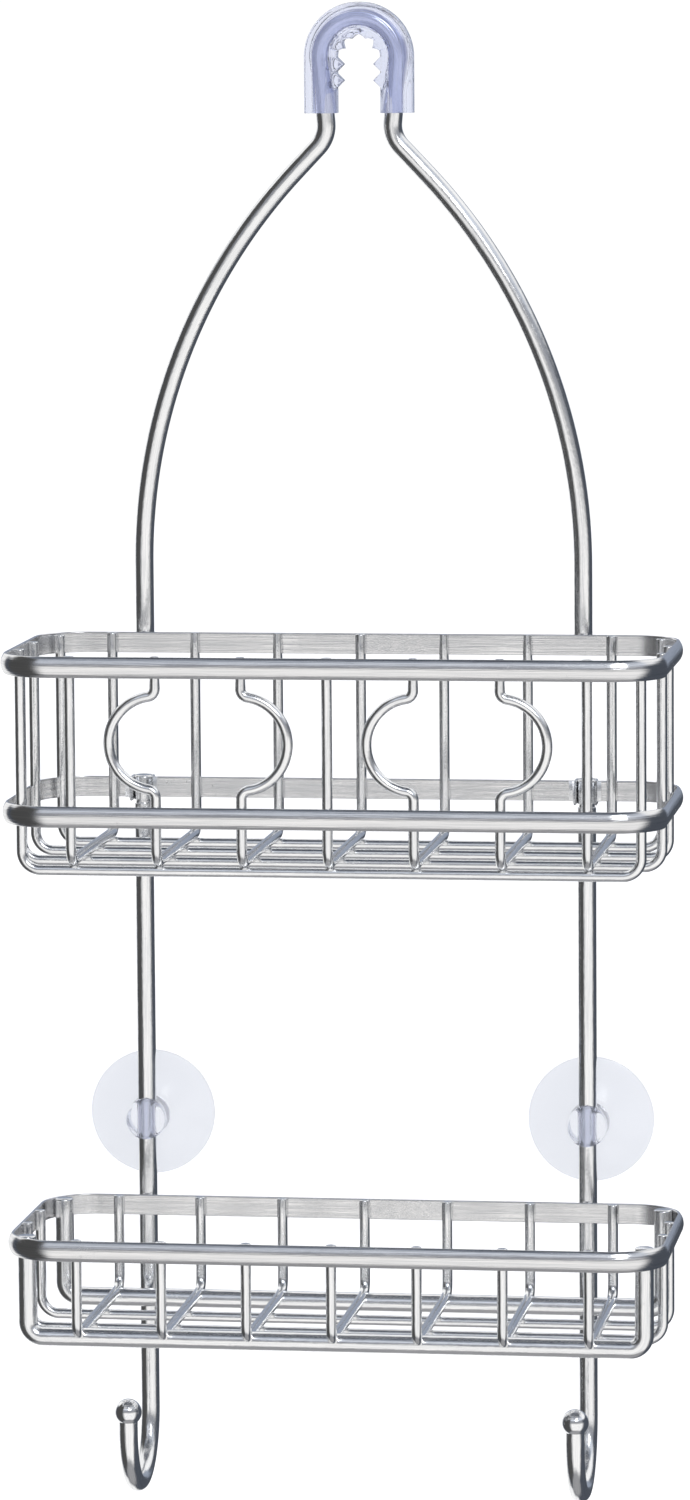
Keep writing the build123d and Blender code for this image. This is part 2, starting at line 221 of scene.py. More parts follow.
@dataclass
class Centreline:
    """A path in one plane of the model, with the two directions square to it.

    Args:
        points: (n, 3) points.
        side: (n, 3) unit vectors in the plane of the path, square to it.
        normal: (n, 3) unit normals of that plane.
        length: (n,) distance along the path.
    """

    points: np.ndarray
    side: np.ndarray
    normal: np.ndarray
    length: np.ndarray

    @classmethod
    def in_plane(
        cls, flat: np.ndarray, origin: Vector, u: Vector, v: Vector, loop: bool = False
    ) -> "Centreline":
        """Places a flat path: origin + p u + q v, with its side direction p', q' turned square.

        Args:
            flat: (n, 2) points p, q.
            origin: where the flat origin lies.
            u: direction of p.
            v: direction of q.
            loop: whether the path closes on itself.

        Returns:
            The centreline in the frame of the model.
        """
        o, u3, v3 = (np.array(a, float) for a in (origin, u, v))
        steps = np.gradient(flat, axis=0)
        if loop:
            steps = np.roll(flat, -1, axis=0) - np.roll(flat, 1, axis=0)
        tangent = unit(steps)
        square = np.stack([tangent[:, 1], -tangent[:, 0]], axis=1)
        points = o + flat[:, :1] * u3 + flat[:, 1:] * v3
        side = square[:, :1] * u3 + square[:, 1:] * v3
        normal = np.repeat(np.cross(u3, v3)[None, :], len(flat), axis=0)
        return cls(points, side, normal, distances(flat))

    def facing_away(self, middle: Vector) -> "Centreline":
        """Turns every side direction away from a point inside the path."""
        self.side *= np.sign((self.side * (self.points - np.array(middle))).sum(axis=1, keepdims=True))
        return self

    def sections(self, outlines: np.ndarray) -> np.ndarray:
        """Sets an outline round each point: point + a side + b normal.

        Args:
            outlines: (n, m, 2) offsets a, b.

        Returns:
            (n, m, 3) grid of points.
        """
        a, b = outlines[..., :1], outlines[..., 1:]
        return self.points[:, None] + a * self.side[:, None] + b * self.normal[:, None]


def circle(radius: float, sides: int) -> np.ndarray:
    """Outline of a round section, open at its seam."""
    return on_circle((0.0, 0.0), radius, np.linspace(0.0, 2 * math.pi, sides, endpoint=False))


def rounded_outline(
    corners: list[tuple[float, float]], radii: list[float], steps: int = 4
) -> np.ndarray:
    """Closed outline whose corners are rounded by tangent arcs, each with its own radius.

    Args:
        corners: corner points, anticlockwise.
        radii: one radius for each corner; nought keeps it sharp.
        steps: arc points at each rounded corner.

    Returns:
        Points as an (n, 2) array, open at its seam.
    """
    out = []
    for i, (corner, radius) in enumerate(zip(corners, radii)):
        if radius <= 0:
            out.append(np.array([corner], float))
            continue
        after = corners[(i + 1) % len(corners)]
        middle, start, turn, _ = fillet(corners[i - 1], corner, after, radius)
        out.append(on_circle(middle, radius, start + turn * np.linspace(0, 1, steps + 1)))
    return np.concatenate(out)


# ---------------------------------------------------------------- surfaces


@dataclass
class Surface:
    """A closed mesh: points, faces and the drawing direction at each point.

    Args:
        points: (n, 3) points.
        faces: (m, 4) corner numbers; a triangle repeats its last corner.
        lay: (n, 3) across, across and along distances that the drawn grain follows.
    """

    points: np.ndarray
    faces: np.ndarray
    lay: np.ndarray

    def outward(self) -> "Surface":
        """Turns all faces round if the volume they enclose comes out negative.

        Returns:
            The surface itself.
        """
        p = self.points - self.points.mean(axis=0)
        a, b, c, d = (p[self.faces[:, i]] for i in range(4))
        if (a * (np.cross(b, c) + np.cross(c, d))).sum() < 0:
            self.faces = self.faces[:, ::-1]
        return self


def grid_faces(rows: int, columns: int, loop: bool = False) -> np.ndarray:
    """Faces of a grid of points whose rows each close to a ring.

    Args:
        rows: number of rows.
        columns: points in each row.
        loop: whether the last row joins the first.

    Returns:
        (m, 4) corner numbers; the point in row i and column j has the number i columns + j.
    """
    i, j = np.meshgrid(np.arange(rows if loop else rows - 1), np.arange(columns), indexing="ij")
    row, next_row, after = i * columns, (i + 1) % rows * columns, (j + 1) % columns
    return np.stack([row + j, next_row + j, next_row + after, row + after], axis=-1).reshape(-1, 4)


def tube_faces(rows: int, columns: int) -> np.ndarray:
    """Faces of an open grid and of a fan at each end.

    Args:
        rows: number of rows.
        columns: points in each row.

    Returns:
        (m, 4) corner numbers; the fans' hubs are the two points that follow the grid's.
    """
    ring, hub = np.arange(columns), np.full(columns, rows * columns)
    after, top = np.roll(ring, -1), (rows - 1) * columns
    low = np.stack([ring, after, hub, hub], axis=-1)
    high = np.stack([top + after, top + ring, hub + 1, hub + 1], axis=-1)
    return np.vstack([grid_faces(rows, columns), low, high])


def laid(outlines: np.ndarray, reach: np.ndarray) -> np.ndarray:
    """Grain coordinates of a grid: its outlines, and each row's distance along the path."""
    along = np.broadcast_to(reach[:, None, None], (*outlines.shape[:2], 1))
    return np.concatenate([outlines, along], axis=2)


def carried(line: Centreline, outline: np.ndarray, loop: bool = False) -> Surface:
    """Carries an outline along a centreline; open ends are closed by a fan round their middle.

    Args:
        line: the centreline, with n points.
        outline: (m, 2) offsets to the side and along the normal, or (n, m, 2) where the
            section changes on the way.
        loop: whether the last section joins the first.

    Returns:
        The surface, its faces pointing outwards.
    """
    n = len(line.points)
    if outline.ndim == 2:
        outline = np.repeat(outline[None], n, axis=0)
    m = outline.shape[1]
    grid, lay = line.sections(outline), laid(outline, line.length)
    if loop:
        return Surface(grid.reshape(-1, 3), grid_faces(n, m, loop=True), lay.reshape(-1, 3)).outward()
    points = np.vstack([grid.reshape(-1, 3), grid[[0, -1]].mean(axis=1)])
    lay = np.vstack([lay.reshape(-1, 3), lay[[0, -1]].mean(axis=1)])
    return Surface(points, tube_faces(n, m), lay).outward()


def rod(
    flat: np.ndarray,
    origin: Vector,
    u: Vector,
    v: Vector,
    radius: float,
    end_round: float,
    sides: int,
    neck: tuple[float, float, float] | None = None,
) -> Surface:
    """Round rod along a flat path, with rounded rims at both cut ends.

    The section's radius is radius - e + e cos(t) over each end while the section moves
    out by e sin(t), t from 0 to 90 degrees; a turned groove takes a half circle off it.

    Args:
        flat: (n, 2) centreline.
        origin: where the flat origin lies.
        u: first direction of the plane.
        v: second direction of the plane.
        radius: radius of the rod.
        end_round: radius e of its end rims.
        sides: points round the section.
        neck: distance along the rod, half width and depth of a turned groove.

    Returns:
        The closed surface.
    """
    first, last = unit(flat[1] - flat[0]), unit(flat[-2] - flat[-1])
    t = np.linspace(0.0, QUARTER, 5)
    out = end_round * np.sin(t)[:, None]
    shrink = end_round * (1 - np.cos(t))
    start = flat[0] + first * (end_round - out[::-1])
    finish = flat[-1] + last * (end_round - out)
    middle = flat[1:-1]
    radii = np.full(len(middle), radius)
    if neck is not None:
        where, half, depth = neck
        cut = np.linspace(-1.0, 1.0, 13)
        middle = np.vstack([flat[0] + first * (where + half * cut)[:, None], middle])
        radii = np.concatenate([radius - depth * np.sqrt(np.clip(1 - cut**2, 0, 1)), radii])
    path = np.vstack([start, middle, finish])
    radii = np.concatenate([radius - shrink[::-1], radii, radius - shrink])
    line = Centreline.in_plane(path, origin, u, v)
    return carried(line, circle(1.0, sides)[None] * radii[:, None, None])


def turned(profile: np.ndarray, centre: Vector, axis: Vector, start: Vector, sides: int) -> Surface:
    """Turns a profile about an axis: centre + h axis + r (cos a start + sin a across).

    Args:
        profile: (n, 2) points r, h, whose first and last point lie on the axis.
        centre: where h is nought.
        axis: unit vector of the axis.
        start: unit vector square to the axis, where a is nought.
        sides: points round the axis.

    Returns:
        The closed surface, each pole a single point.
    """
    c, h3, s3 = (np.array(x, float) for x in (centre, axis, start))
    a = np.linspace(0.0, 2 * math.pi, sides, endpoint=False)
    ring = np.cos(a)[:, None] * s3 + np.sin(a)[:, None] * np.cross(h3, s3)
    inner = profile[1:-1]
    grid = c + inner[:, None, 1:] * h3 + inner[:, None, :1] * ring
    points = np.vstack([grid.reshape(-1, 3), c + profile[[0, -1], 1:] * h3])
    lay = (points - c)[:, [0, 2, 1]]
    return Surface(points, tube_faces(len(inner), sides), lay).outward()


def to_mesh(name: str, surface: Surface) -> bpy.types.Mesh:
    """Puts a surface into a new smooth mesh, with its grain in the point attribute "lay".

    Args:
        name: name of the mesh.
        surface: points, faces and lay.

    Returns:
        The mesh.
    """
    mesh = bpy.data.meshes.new(name)
    faces = [tuple(dict.fromkeys(f)) for f in surface.faces.tolist()]
    mesh.from_pydata(surface.points.tolist(), [], faces)
    mesh.polygons.foreach_set("use_smooth", np.ones(len(faces), bool))
    lay = mesh.attributes.new("lay", "FLOAT_VECTOR", "POINT")
    lay.data.foreach_set("vector", surface.lay.astype(np.float32).ravel())
    mesh.update()
    mesh.set_sharp_from_angle(angle=SHARP)
    return mesh


def node_points(name: str) -> np.ndarray:
    """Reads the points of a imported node.

    Args:
        name: name of the node.

    Returns:
        (n, 3) points in the frame of the model.
    """
    vertices = frame["nodes"][name].data.vertices
    points = np.empty(len(vertices) * 3)
    vertices.foreach_get("co", points)
    return points.reshape(-1, 3)


# ---------------------------------------------------------------- finishes


class Nodes:
    """Small helper that adds nodes to one tree and links them left to right."""

    def __init__(self, tree: bpy.types.NodeTree) -> None:
        """Keeps the tree and empties it."""
        self.tree = tree
        tree.nodes.clear()
        self.count = 0

    def feed(self, socket: bpy.types.NodeSocket, value: object) -> None:
        """Links an input to another node's output, or sets it to a constant."""
        if isinstance(value, bpy.types.NodeSocket):
            self.tree.links.new(value, socket)
        else:
            socket.default_value = value

    def add(self, kind: str, values: dict | None = None, **settings: object) -> bpy.types.Node:
        """Adds a node.

        Args:
            kind: type of the node.
            values: input name or number to a value or to another node's output.
            settings: properties of the node.

        Returns:
            The node.
        """
        node = self.tree.nodes.new(kind)
        node.location = (self.count % 8 * 190, -(self.count // 8) * 260)
        self.count += 1
        for key, value in settings.items():
            setattr(node, key, value)
        for key, value in (values or {}).items():
            self.feed(node.inputs[key], value)
        return node

    def math(self, operation: str, a: object, b: object = 0.0) -> bpy.types.NodeSocket:
        """One Math node; a and b are numbers or sockets."""
        return self.add("ShaderNodeMath", {0: a, 1: b}, operation=operation).outputs[0]

    def spread(
        self, value: object, low: float, high: float, to_low: float = 0.0, to_high: float = 1.0
    ) -> bpy.types.NodeSocket:
        """Smooth Map Range.

        Args:
            value: number or socket.
            low: start of its range.
            high: end of its range.
            to_low: result up to the start.
            to_high: result from the end on.

        Returns:
            The mapped value.
        """
        ends = {"From Min": low, "From Max": high, "To Min": to_low, "To Max": to_high}
        node = self.add("ShaderNodeMapRange", {"Value": value, **ends}, interpolation_type="SMOOTHSTEP")
        return node.outputs["Result"]

    def blend(self, factor: object, a: object, b: object) -> bpy.types.NodeSocket:
        """Colour mix of a and b, each a colour or a socket."""
        return self.add("ShaderNodeMix", {0: factor, 6: a, 7: b}, data_type="RGBA").outputs[2]

    def noise(self, where: object, scale: object, detail: float) -> bpy.types.NodeSocket:
        """Noise value, 0 to 1, at the given coordinates."""
        node = self.add("ShaderNodeTexNoise", {"Vector": where, "Scale": scale, "Detail": detail})
        return node.outputs["Fac"]


def new_material(name: str) -> tuple[bpy.types.Material, Nodes]:
    """Empty material and a helper on its tree."""
    material = bpy.data.materials.new(name)
    material.use_nodes = True
    return material, Nodes(material.node_tree)


def new_group(name: str, inputs: dict[str, float], outputs: list[str]) -> tuple[bpy.types.NodeTree, Nodes]:
    """Empty shader node group with named number sockets.

    Args:
        name: name of the group.
        inputs: input name to its default.
        outputs: names of the outputs.

    Returns:
        The group and a helper on it.
    """
    group = bpy.data.node_groups.new(name, "ShaderNodeTree")
    for key, value in inputs.items():
        socket = group.interface.new_socket(key, in_out="INPUT", socket_type="NodeSocketFloat")
        socket.default_value = value
    for key in outputs:
        group.interface.new_socket(key, in_out="OUTPUT", socket_type="NodeSocketFloat")
    return group, Nodes(group)


BAND_SCALE, RIPPLE_SCALE = 0.22, 0.3  # against the scale of the fine lines
RIPPLE_STRETCH = 0.45  # along the rod


def drawn_grain_group() -> bpy.types.NodeTree:
    """Lines left by drawing or brushing: noise on "lay", squeezed along the third axis.

    Returns:
        A group with inputs Fineness and Stretch and outputs Lines, Bands and Ripple, 0 to 1;
        the ripple is the short unevenness that drawing leaves along a rod.
    """
    inputs = {"Fineness": 3000.0, "Stretch": 0.03}
    group, n = new_group("drawn_grain", inputs, ["Lines", "Bands", "Ripple"])
    given = n.add("NodeGroupInput").outputs
    lay = n.add("ShaderNodeAttribute", attribute_name="lay", attribute_type="GEOMETRY").outputs["Vector"]
    across = n.add("ShaderNodeSeparateXYZ", {0: lay}).outputs
    along = n.math("MULTIPLY", across[2], given["Stretch"])
    squeezed = n.add("ShaderNodeCombineXYZ", {0: across[0], 1: across[1], 2: along}).outputs[0]
    fine = n.noise(squeezed, given["Fineness"], 3.0)
    coarse = n.noise(squeezed, n.math("MULTIPLY", given["Fineness"], BAND_SCALE), 2.0)
    shape = {"Vector": lay, "Scale": (1.0, 1.0, RIPPLE_STRETCH)}
    short = n.add("ShaderNodeMapping", shape, vector_type="POINT").outputs[0]
    ripple = n.noise(short, n.math("MULTIPLY", given["Fineness"], RIPPLE_SCALE), 2.0)
    lines, bands = n.spread(fine, 0.3, 0.7), n.spread(coarse, 0.35, 0.65)
    n.add("NodeGroupOutput", {"Lines": lines, "Bands": bands, "Ripple": ripple})
    return group


def handling_group() -> bpy.types.NodeTree:
    """Clouding and small dried water spots on Object coordinates.

    Returns:
        A group with inputs Cloud Scale and Spot Scale and outputs Cloud and Spots, 0 to 1.
    """
    inputs = {"Cloud Scale": 45.0, "Spot Scale": 260.0}
    group, n = new_group("handling_marks", inputs, ["Cloud", "Spots"])
    given = n.add("NodeGroupInput").outputs
    where = n.add("ShaderNodeTexCoord").outputs["Object"]
    cloud = n.noise(where, given["Cloud Scale"], 4.0)
    cells = n.add("ShaderNodeTexVoronoi", {"Vector": where, "Scale": given["Spot Scale"], "Randomness": 1.0})
    spot = n.spread(cells.outputs["Distance"], 0.08, 0.2, 1.0, 0.0)
    spots = n.math("MULTIPLY", spot, n.spread(cloud, 0.52, 0.62))
    n.add("NodeGroupOutput", {"Cloud": n.spread(cloud, 0.3, 0.7), "Spots": spots})
    return group


LINE_SHARE, BAND_SHARE = 0.6, 0.4  # of the fine lines and the broad bands in the grain
SPOT_DULL, SPOT_COLOUR = 0.12, (0.55, 0.56, 0.58, 1.0)  # how much a dried spot greys the metal
SPOT_ROUGH, METAL_CLOUD_ROUGH, VINYL_CLOUD_ROUGH = 0.08, 0.05, 0.06  # roughness that marks add
VINYL_STRETCH = 0.05  # along the flow streaks of the plastic


@dataclass(frozen=True)
class DrawnMetal:
    """Bright drawn or brushed aluminium.

    Args:
        name: name of the material.
        light: colour on the crests of the grain.
        dark: colour in its furrows.
        roughness: roughness on the crests.
        rough_span: how much rougher the furrows are.
        fineness: grain lines for each metre across.
        stretch: how much longer than wide a line is, inverted.
        relief: depth of the grain in metres.
        ripple: height of the short ripple as a multiple of the grain's.
    """

    name: str
    light: tuple[float, float, float]
    dark: tuple[float, float, float]
    roughness: float
    rough_span: float
    fineness: float
    stretch: float
    relief: float
    ripple: float = 3.0

    def build(self, grain: bpy.types.NodeTree, marks: bpy.types.NodeTree) -> bpy.types.Material:
        """Makes the material.

        Args:
            grain: the drawn grain group.
            marks: the handling marks group.

        Returns:
            The material.
        """
        material, n = new_material(self.name)
        size = {"Fineness": self.fineness, "Stretch": self.stretch}
        lines = n.add("ShaderNodeGroup", size, node_tree=grain).outputs
        wear = n.add("ShaderNodeGroup", node_tree=marks).outputs
        crest = n.math("MULTIPLY", lines["Lines"], LINE_SHARE)
        crest = n.math("ADD", crest, n.math("MULTIPLY", lines["Bands"], BAND_SHARE))
        metal = n.blend(crest, (*self.dark, 1.0), (*self.light, 1.0))
        colour = n.blend(n.math("MULTIPLY", wear["Spots"], SPOT_DULL), metal, SPOT_COLOUR)
        rough = n.math("MULTIPLY", n.math("SUBTRACT", 1.0, crest), self.rough_span)
        rough = n.math("ADD", rough, n.math("MULTIPLY", wear["Cloud"], METAL_CLOUD_ROUGH))
        rough = n.math("ADD", rough, n.math("MULTIPLY", wear["Spots"], SPOT_ROUGH))
        rough = n.math("ADD", rough, self.roughness)
        height = n.math("ADD", crest, n.math("MULTIPLY", lines["Ripple"], self.ripple))
        bump = n.add("ShaderNodeBump", {"Height": height, "Distance": self.relief, "Strength": 1.0})
        skin = {"Base Color": colour, "Metallic": 1.0, "Roughness": rough, "Normal": bump.outputs[0]}
        shader = n.add("ShaderNodeBsdfPrincipled", skin)
        n.add("ShaderNodeOutputMaterial", {"Surface": shader.outputs[0]})
        return material


@dataclass(frozen=True)
class ClearVinyl:
    """Clear soft plastic with a cool tint and faint flow streaks from its mould.

    Args:
        name: name of the material.
        tint: colour where it is clearest.
        haze: colour where it is cloudier.
        roughness: roughness of its skin.
        ior: index of refraction.
        relief: depth of the flow streaks in metres.
        fineness: streaks for each metre across.
        clear: share of the light that passes; the rest is scattered at the skin.
    """

    name: str
    tint: tuple[float, float, float]
    haze: tuple[float, float, float]
    roughness: float
    ior: float
    relief: float
    fineness: float
    clear: float

    def build(self, grain: bpy.types.NodeTree, marks: bpy.types.NodeTree) -> bpy.types.Material:
        """Makes the material.

        Args:
            grain: the drawn grain group, here the flow streaks.
            marks: the handling marks group.

        Returns:
            The material.
        """
        material, n = new_material(self.name)
        size = {"Fineness": self.fineness, "Stretch": VINYL_STRETCH}
        streaks = n.add("ShaderNodeGroup", size, node_tree=grain).outputs["Bands"]
        cloud = n.add("ShaderNodeGroup", node_tree=marks).outputs["Cloud"]
        colour = n.blend(streaks, (*self.haze, 1.0), (*self.tint, 1.0))
        rough = n.math("ADD", n.math("MULTIPLY", cloud, VINYL_CLOUD_ROUGH), self.roughness)
        bump = n.add("ShaderNodeBump", {"Height": streaks, "Distance": self.relief, "Strength": 1.0})
        skin = {"Base Color": colour, "Roughness": rough, "IOR": self.ior, "Normal": bump.outputs[0]}
        shader = n.add("ShaderNodeBsdfPrincipled", {**skin, "Transmission Weight": self.clear})
        n.add("ShaderNodeOutputMaterial", {"Surface": shader.outputs[0]})
        return material


@dataclass
class Finishes:
    """Every material of the caddy, and the placing of pieces that wear them.

    Args:
        made: the material of each slot.
    """

    made: dict[Slot, bpy.types.Material]

    @classmethod
    def build(cls) -> "Finishes":
        """Builds the two shared groups and the materials."""
        bright, grey = (0.96, 0.96, 0.96), (0.82, 0.83, 0.845)
        kinds = {
            Slot.THICK_ROD: DrawnMetal(
                "drawn_aluminium_rod", bright, grey, roughness=0.1, rough_span=0.1,
                fineness=2600.0, stretch=0.035, relief=0.02 * MM,
            ),
            Slot.BASKET_WIRE: DrawnMetal(
                "drawn_aluminium_wire", bright, grey, roughness=0.1, rough_span=0.1,
                fineness=3400.0, stretch=0.04, relief=0.012 * MM,
            ),
            Slot.BRUSHED_BAR: DrawnMetal(
                "brushed_aluminium_bar", (0.87, 0.865, 0.865), (0.74, 0.745, 0.755), roughness=0.11,
                rough_span=0.09, fineness=2400.0, stretch=0.02, relief=0.035 * MM, ripple=0.5,
            ),
            Slot.CLIP_SHEET: DrawnMetal(
                "pressed_clip_sheet", (0.86, 0.87, 0.88), grey, roughness=0.2, rough_span=0.1,
                fineness=2200.0, stretch=0.2, relief=0.01 * MM,
            ),
            Slot.BRIGHT_BALL: DrawnMetal(
                "polished_ball", bright, (0.85, 0.86, 0.88), roughness=0.06, rough_span=0.05,
                fineness=1800.0, stretch=0.8, relief=0.004 * MM,
            ),
            Slot.CLEAR_VINYL: ClearVinyl(
                "clear_vinyl_sleeve", (0.82, 0.85, 0.97), (0.75, 0.79, 0.95), roughness=0.04,
                ior=1.42, relief=0.05 * MM, fineness=500.0, clear=0.96,
            ),
            Slot.CLEAR_CUP: ClearVinyl(
                "clear_vinyl_cup", (0.91, 0.93, 0.98), (0.88, 0.905, 0.97), roughness=0.12,
                ior=1.4, relief=0.01 * MM, fineness=300.0, clear=0.93,
            ),
        }
        groups = drawn_grain_group(), handling_group()
        return cls({slot: kind.build(*groups) for slot, kind in kinds.items()})

    def place(self, node: str, mesh: bpy.types.Mesh, slot: Slot) -> None:
        """Links a finished piece, rides it on its node's body and lets it stand for that node.

        Args:
            node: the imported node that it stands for.
            mesh: its mesh, in the frame of the model, with the name of the piece.
            slot: the record's slot of its finish.
        """
        piece = bpy.data.objects.new(mesh.name, mesh)
        bpy.context.scene.collection.objects.link(piece)
        mesh.materials.append(self.made[slot])
        body = next(b for b, nodes in BODIES.items() if node in nodes)
        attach(piece, body)
        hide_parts(node)
        LOG.info("%s: %d faces on body %s", piece.name, len(mesh.polygons), body)

    def make(self, node: str, surface: Surface, slot: Slot) -> None:
        """Makes and places the finished piece of one node."""
        self.place(node, to_mesh(node + "_finished", surface), slot)


# ---------------------------------------------------------------- sub-assemblies

X, Y, Z = Vector((1, 0, 0)), Vector((0, 1, 0)), Vector((0, 0, 1))
ORIGIN = Vector((0, 0, 0))


@dataclass
class Hanger:
    """Bent hanger rod and the clear sleeve on its hook.

    Args:
        leg_straight: straight foot of each leg below the big curve.
        shoulder_straight: straight between the big curve and the neck.
        neck_drop: depth of the neck's corner below the origin.
        neck_r: bend radius of the neck.
        lean: angle that the hook's legs lean in.
        bore_clear: gap between the rod and the sleeve's bore.
        sleeve_corner_r: corner radius of the sleeve's section.
        flute_depth: depth of the flutes along its two faces.
        flute_half: half width of a flute.
        flute_offset: distance of a flute from the middle of the wall.
        tooth_height: height of a grip tooth on the legs.
        tooth_pitch: distance from tooth to tooth on the legs.
        tooth_half: half width of a tooth at its root.
        tooth_first_drop: first tooth below the origin.
        tooth_side_gap: how far the teeth stop short of the two faces.
        leg_teeth: number of teeth on each leg.
        crown_teeth: angle and half width in degrees, and height, of each tooth beside the crown.
        inner_extra: how much thicker the wall is inside the rod than outside it.
        inner_hold: places of the support points beside the middle of the inner wall.
        outer_hold: the same on the outer wall.
        tooth_reach: share of the inner half of the wall, from the middle, that no tooth moves.
    """

    leg_straight: float = 34.4 * MM
    shoulder_straight: float = 18.8 * MM
    neck_drop: float = 30.4 * MM
    neck_r: float = 12.0 * MM
    lean: float = math.radians(4.9)
    bore_clear: float = 0.04 * MM
    sleeve_corner_r: float = 3.4 * MM
    flute_depth: float = 0.55 * MM
    flute_half: float = 0.85 * MM
    flute_offset: float = 2.6 * MM
    tooth_height: float = 2.7 * MM
    tooth_pitch: float = 6.2 * MM
    tooth_half: float = 2.67 * MM
    tooth_first_drop: float = 2.8 * MM
    tooth_side_gap: float = 1.0 * MM
    leg_teeth: int = 2
    crown_teeth: tuple[tuple[float, float, float], ...] = ((30.0, 14.0, 2.3 * MM), (69.0, 17.0, 1.1 * MM))
    inner_extra: float = 0.6 * MM
    inner_hold: float = 1.4 * MM
    outer_hold: float = 2.0 * MM
    tooth_reach: float = 0.2

    def __post_init__(self) -> None:
        """Reads the hanger's and the sleeve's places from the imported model."""
        low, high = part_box("hanger_arch")
        self.radius = (high.y - low.y) / 2
        self.leg_x = high.x - self.radius
        self.foot_z = low.z
        sleeve_low, sleeve_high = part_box("hook_sleeve")
        self.outer_r = sleeve_high.z
        self.crown_r = high.z - self.radius
        self.inner_r = 2 * self.crown_r - self.outer_r - self.inner_extra
        self.sleeve_z = sleeve_low.z
        self.depth = sleeve_high.y - sleeve_low.y

    def half_path(self) -> np.ndarray:
        """Right half of the rod's centreline in X and Z, from the foot to the crown.

        The big curve has the radius (w^2 + h^2 - s^2) / 2w, which makes it tangent to the
        leg and to the shoulder, with w and h the width and height from its start to the
        neck and s the shoulder's length.

        Returns:
            Points as an (n, 2) array.
        """
        base_z = self.foot_z + self.leg_straight
        crown = (self.crown_r * math.cos(self.lean), -self.crown_r * math.sin(self.lean))
        neck = (crown[0] + (-self.neck_drop - crown[1]) * math.tan(self.lean), -self.neck_drop)
        wide, high = self.leg_x - neck[0], neck[1] - base_z
        big_r = (wide**2 + high**2 - self.shoulder_straight**2) / (2 * wide)
        sweep = math.atan2(high, big_r - wide) - math.atan2(self.shoulder_straight, big_r)
        centre = (self.leg_x - big_r, base_z)
        shoulder = (centre[0] + big_r * math.cos(sweep), base_z + big_r * math.sin(sweep))
        return joined(
            run((self.leg_x, self.foot_z), (self.leg_x, base_z)),
            arc(centre, big_r, 0.0, sweep, 0.016),
            bent([shoulder, neck, crown], self.neck_r),
            arc((0.0, 0.0), self.crown_r, -self.lean, QUARTER, 0.06),
        )

    def path(self) -> np.ndarray:
        """Whole centreline, foot to foot."""
        return mirrored(self.half_path())

    def rod_surface(self) -> Surface:
        """The rod itself."""
        return rod(self.path(), ORIGIN, X, Z, self.radius, ROD_ROUND, ROD_SIDES)

    def sleeve_stations(self) -> tuple[np.ndarray, np.ndarray]:
        """Centreline of the sleeve and the height of the teeth at each of its points.

        A tooth rises evenly from its root to its tip and falls evenly again. The stations
        include each root and tip, so that the tips stay sharp.

        Returns:
            (n, 2) centreline in X and Z, and (n,) tooth heights.
        """
        middle_r = (self.inner_r + self.outer_r) / 2
        crown = QUARTER * middle_r
        drops = [self.tooth_first_drop + self.tooth_pitch * i for i in range(self.leg_teeth)]
        teeth = [(-drop, self.tooth_half, self.tooth_height) for drop in drops]
        teeth += [(math.radians(a) * middle_r, math.radians(w) * middle_r, h) for a, w, h in self.crown_teeth]
        even = [np.linspace(self.sleeve_z, 0.0, 16), np.linspace(0.0, crown, 30)]
        corners = [np.array([p - w, p, p + w]) for p, w, _ in teeth]
        half = np.unique(np.round(np.concatenate(even + corners), 7))
        half = half[half <= crown]
        height = np.max([h * np.clip(1 - np.abs(half - p) / w, 0, 1) for p, w, h in teeth], axis=0)
        right = on_circle((0.0, 0.0), middle_r, np.clip(half, 0, None) / middle_r)
        right[:, 1] += np.clip(half, None, 0)
        left = right[::-1][1:] * (-1.0, 1.0)
        return np.vstack([right, left]), np.concatenate([height, height[::-1][1:]])

    def sleeve_outline(self) -> tuple[np.ndarray, np.ndarray]:
        """Section of the sleeve and the share of the tooth height that each point takes.

        Returns:
            (m, 2) outline, first axis towards the outside of the hook, and (m,) shares.
        """
        a, b = (self.outer_r - self.inner_r) / 2, self.depth / 2
        r = self.sleeve_corner_r
        corner = on_circle((0.0, 0.0), r, np.linspace(0.0, QUARTER, 9))
        top = np.linspace(a - r, r - a, 25)[1:-1]
        dip = sum(
            self.flute_depth * np.clip(1 - ((top - o) / self.flute_half) ** 2, 0, 1)
            for o in (-self.flute_offset, self.flute_offset)
        )
        outer_corner, inner_corner = corner + (a - r, b - r), corner[::-1] * (-1, 1) + (r - a, b - r)
        upper = np.vstack([outer_corner, np.stack([top, b - dip], axis=1), inner_corner])
        inner = np.array([(-a, self.inner_hold), (-a, 0.0), (-a, -self.inner_hold)])
        outer = np.array([(a, -self.outer_hold), (a, 0.0), (a, self.outer_hold)])
        outline = np.vstack([upper, inner, upper[::-1] * (1, -1), outer])
        toothed = np.abs(outline[:, 1]) < b - self.tooth_side_gap
        toothed &= outline[:, 0] < -a * self.tooth_reach
        return outline, toothed.astype(float)

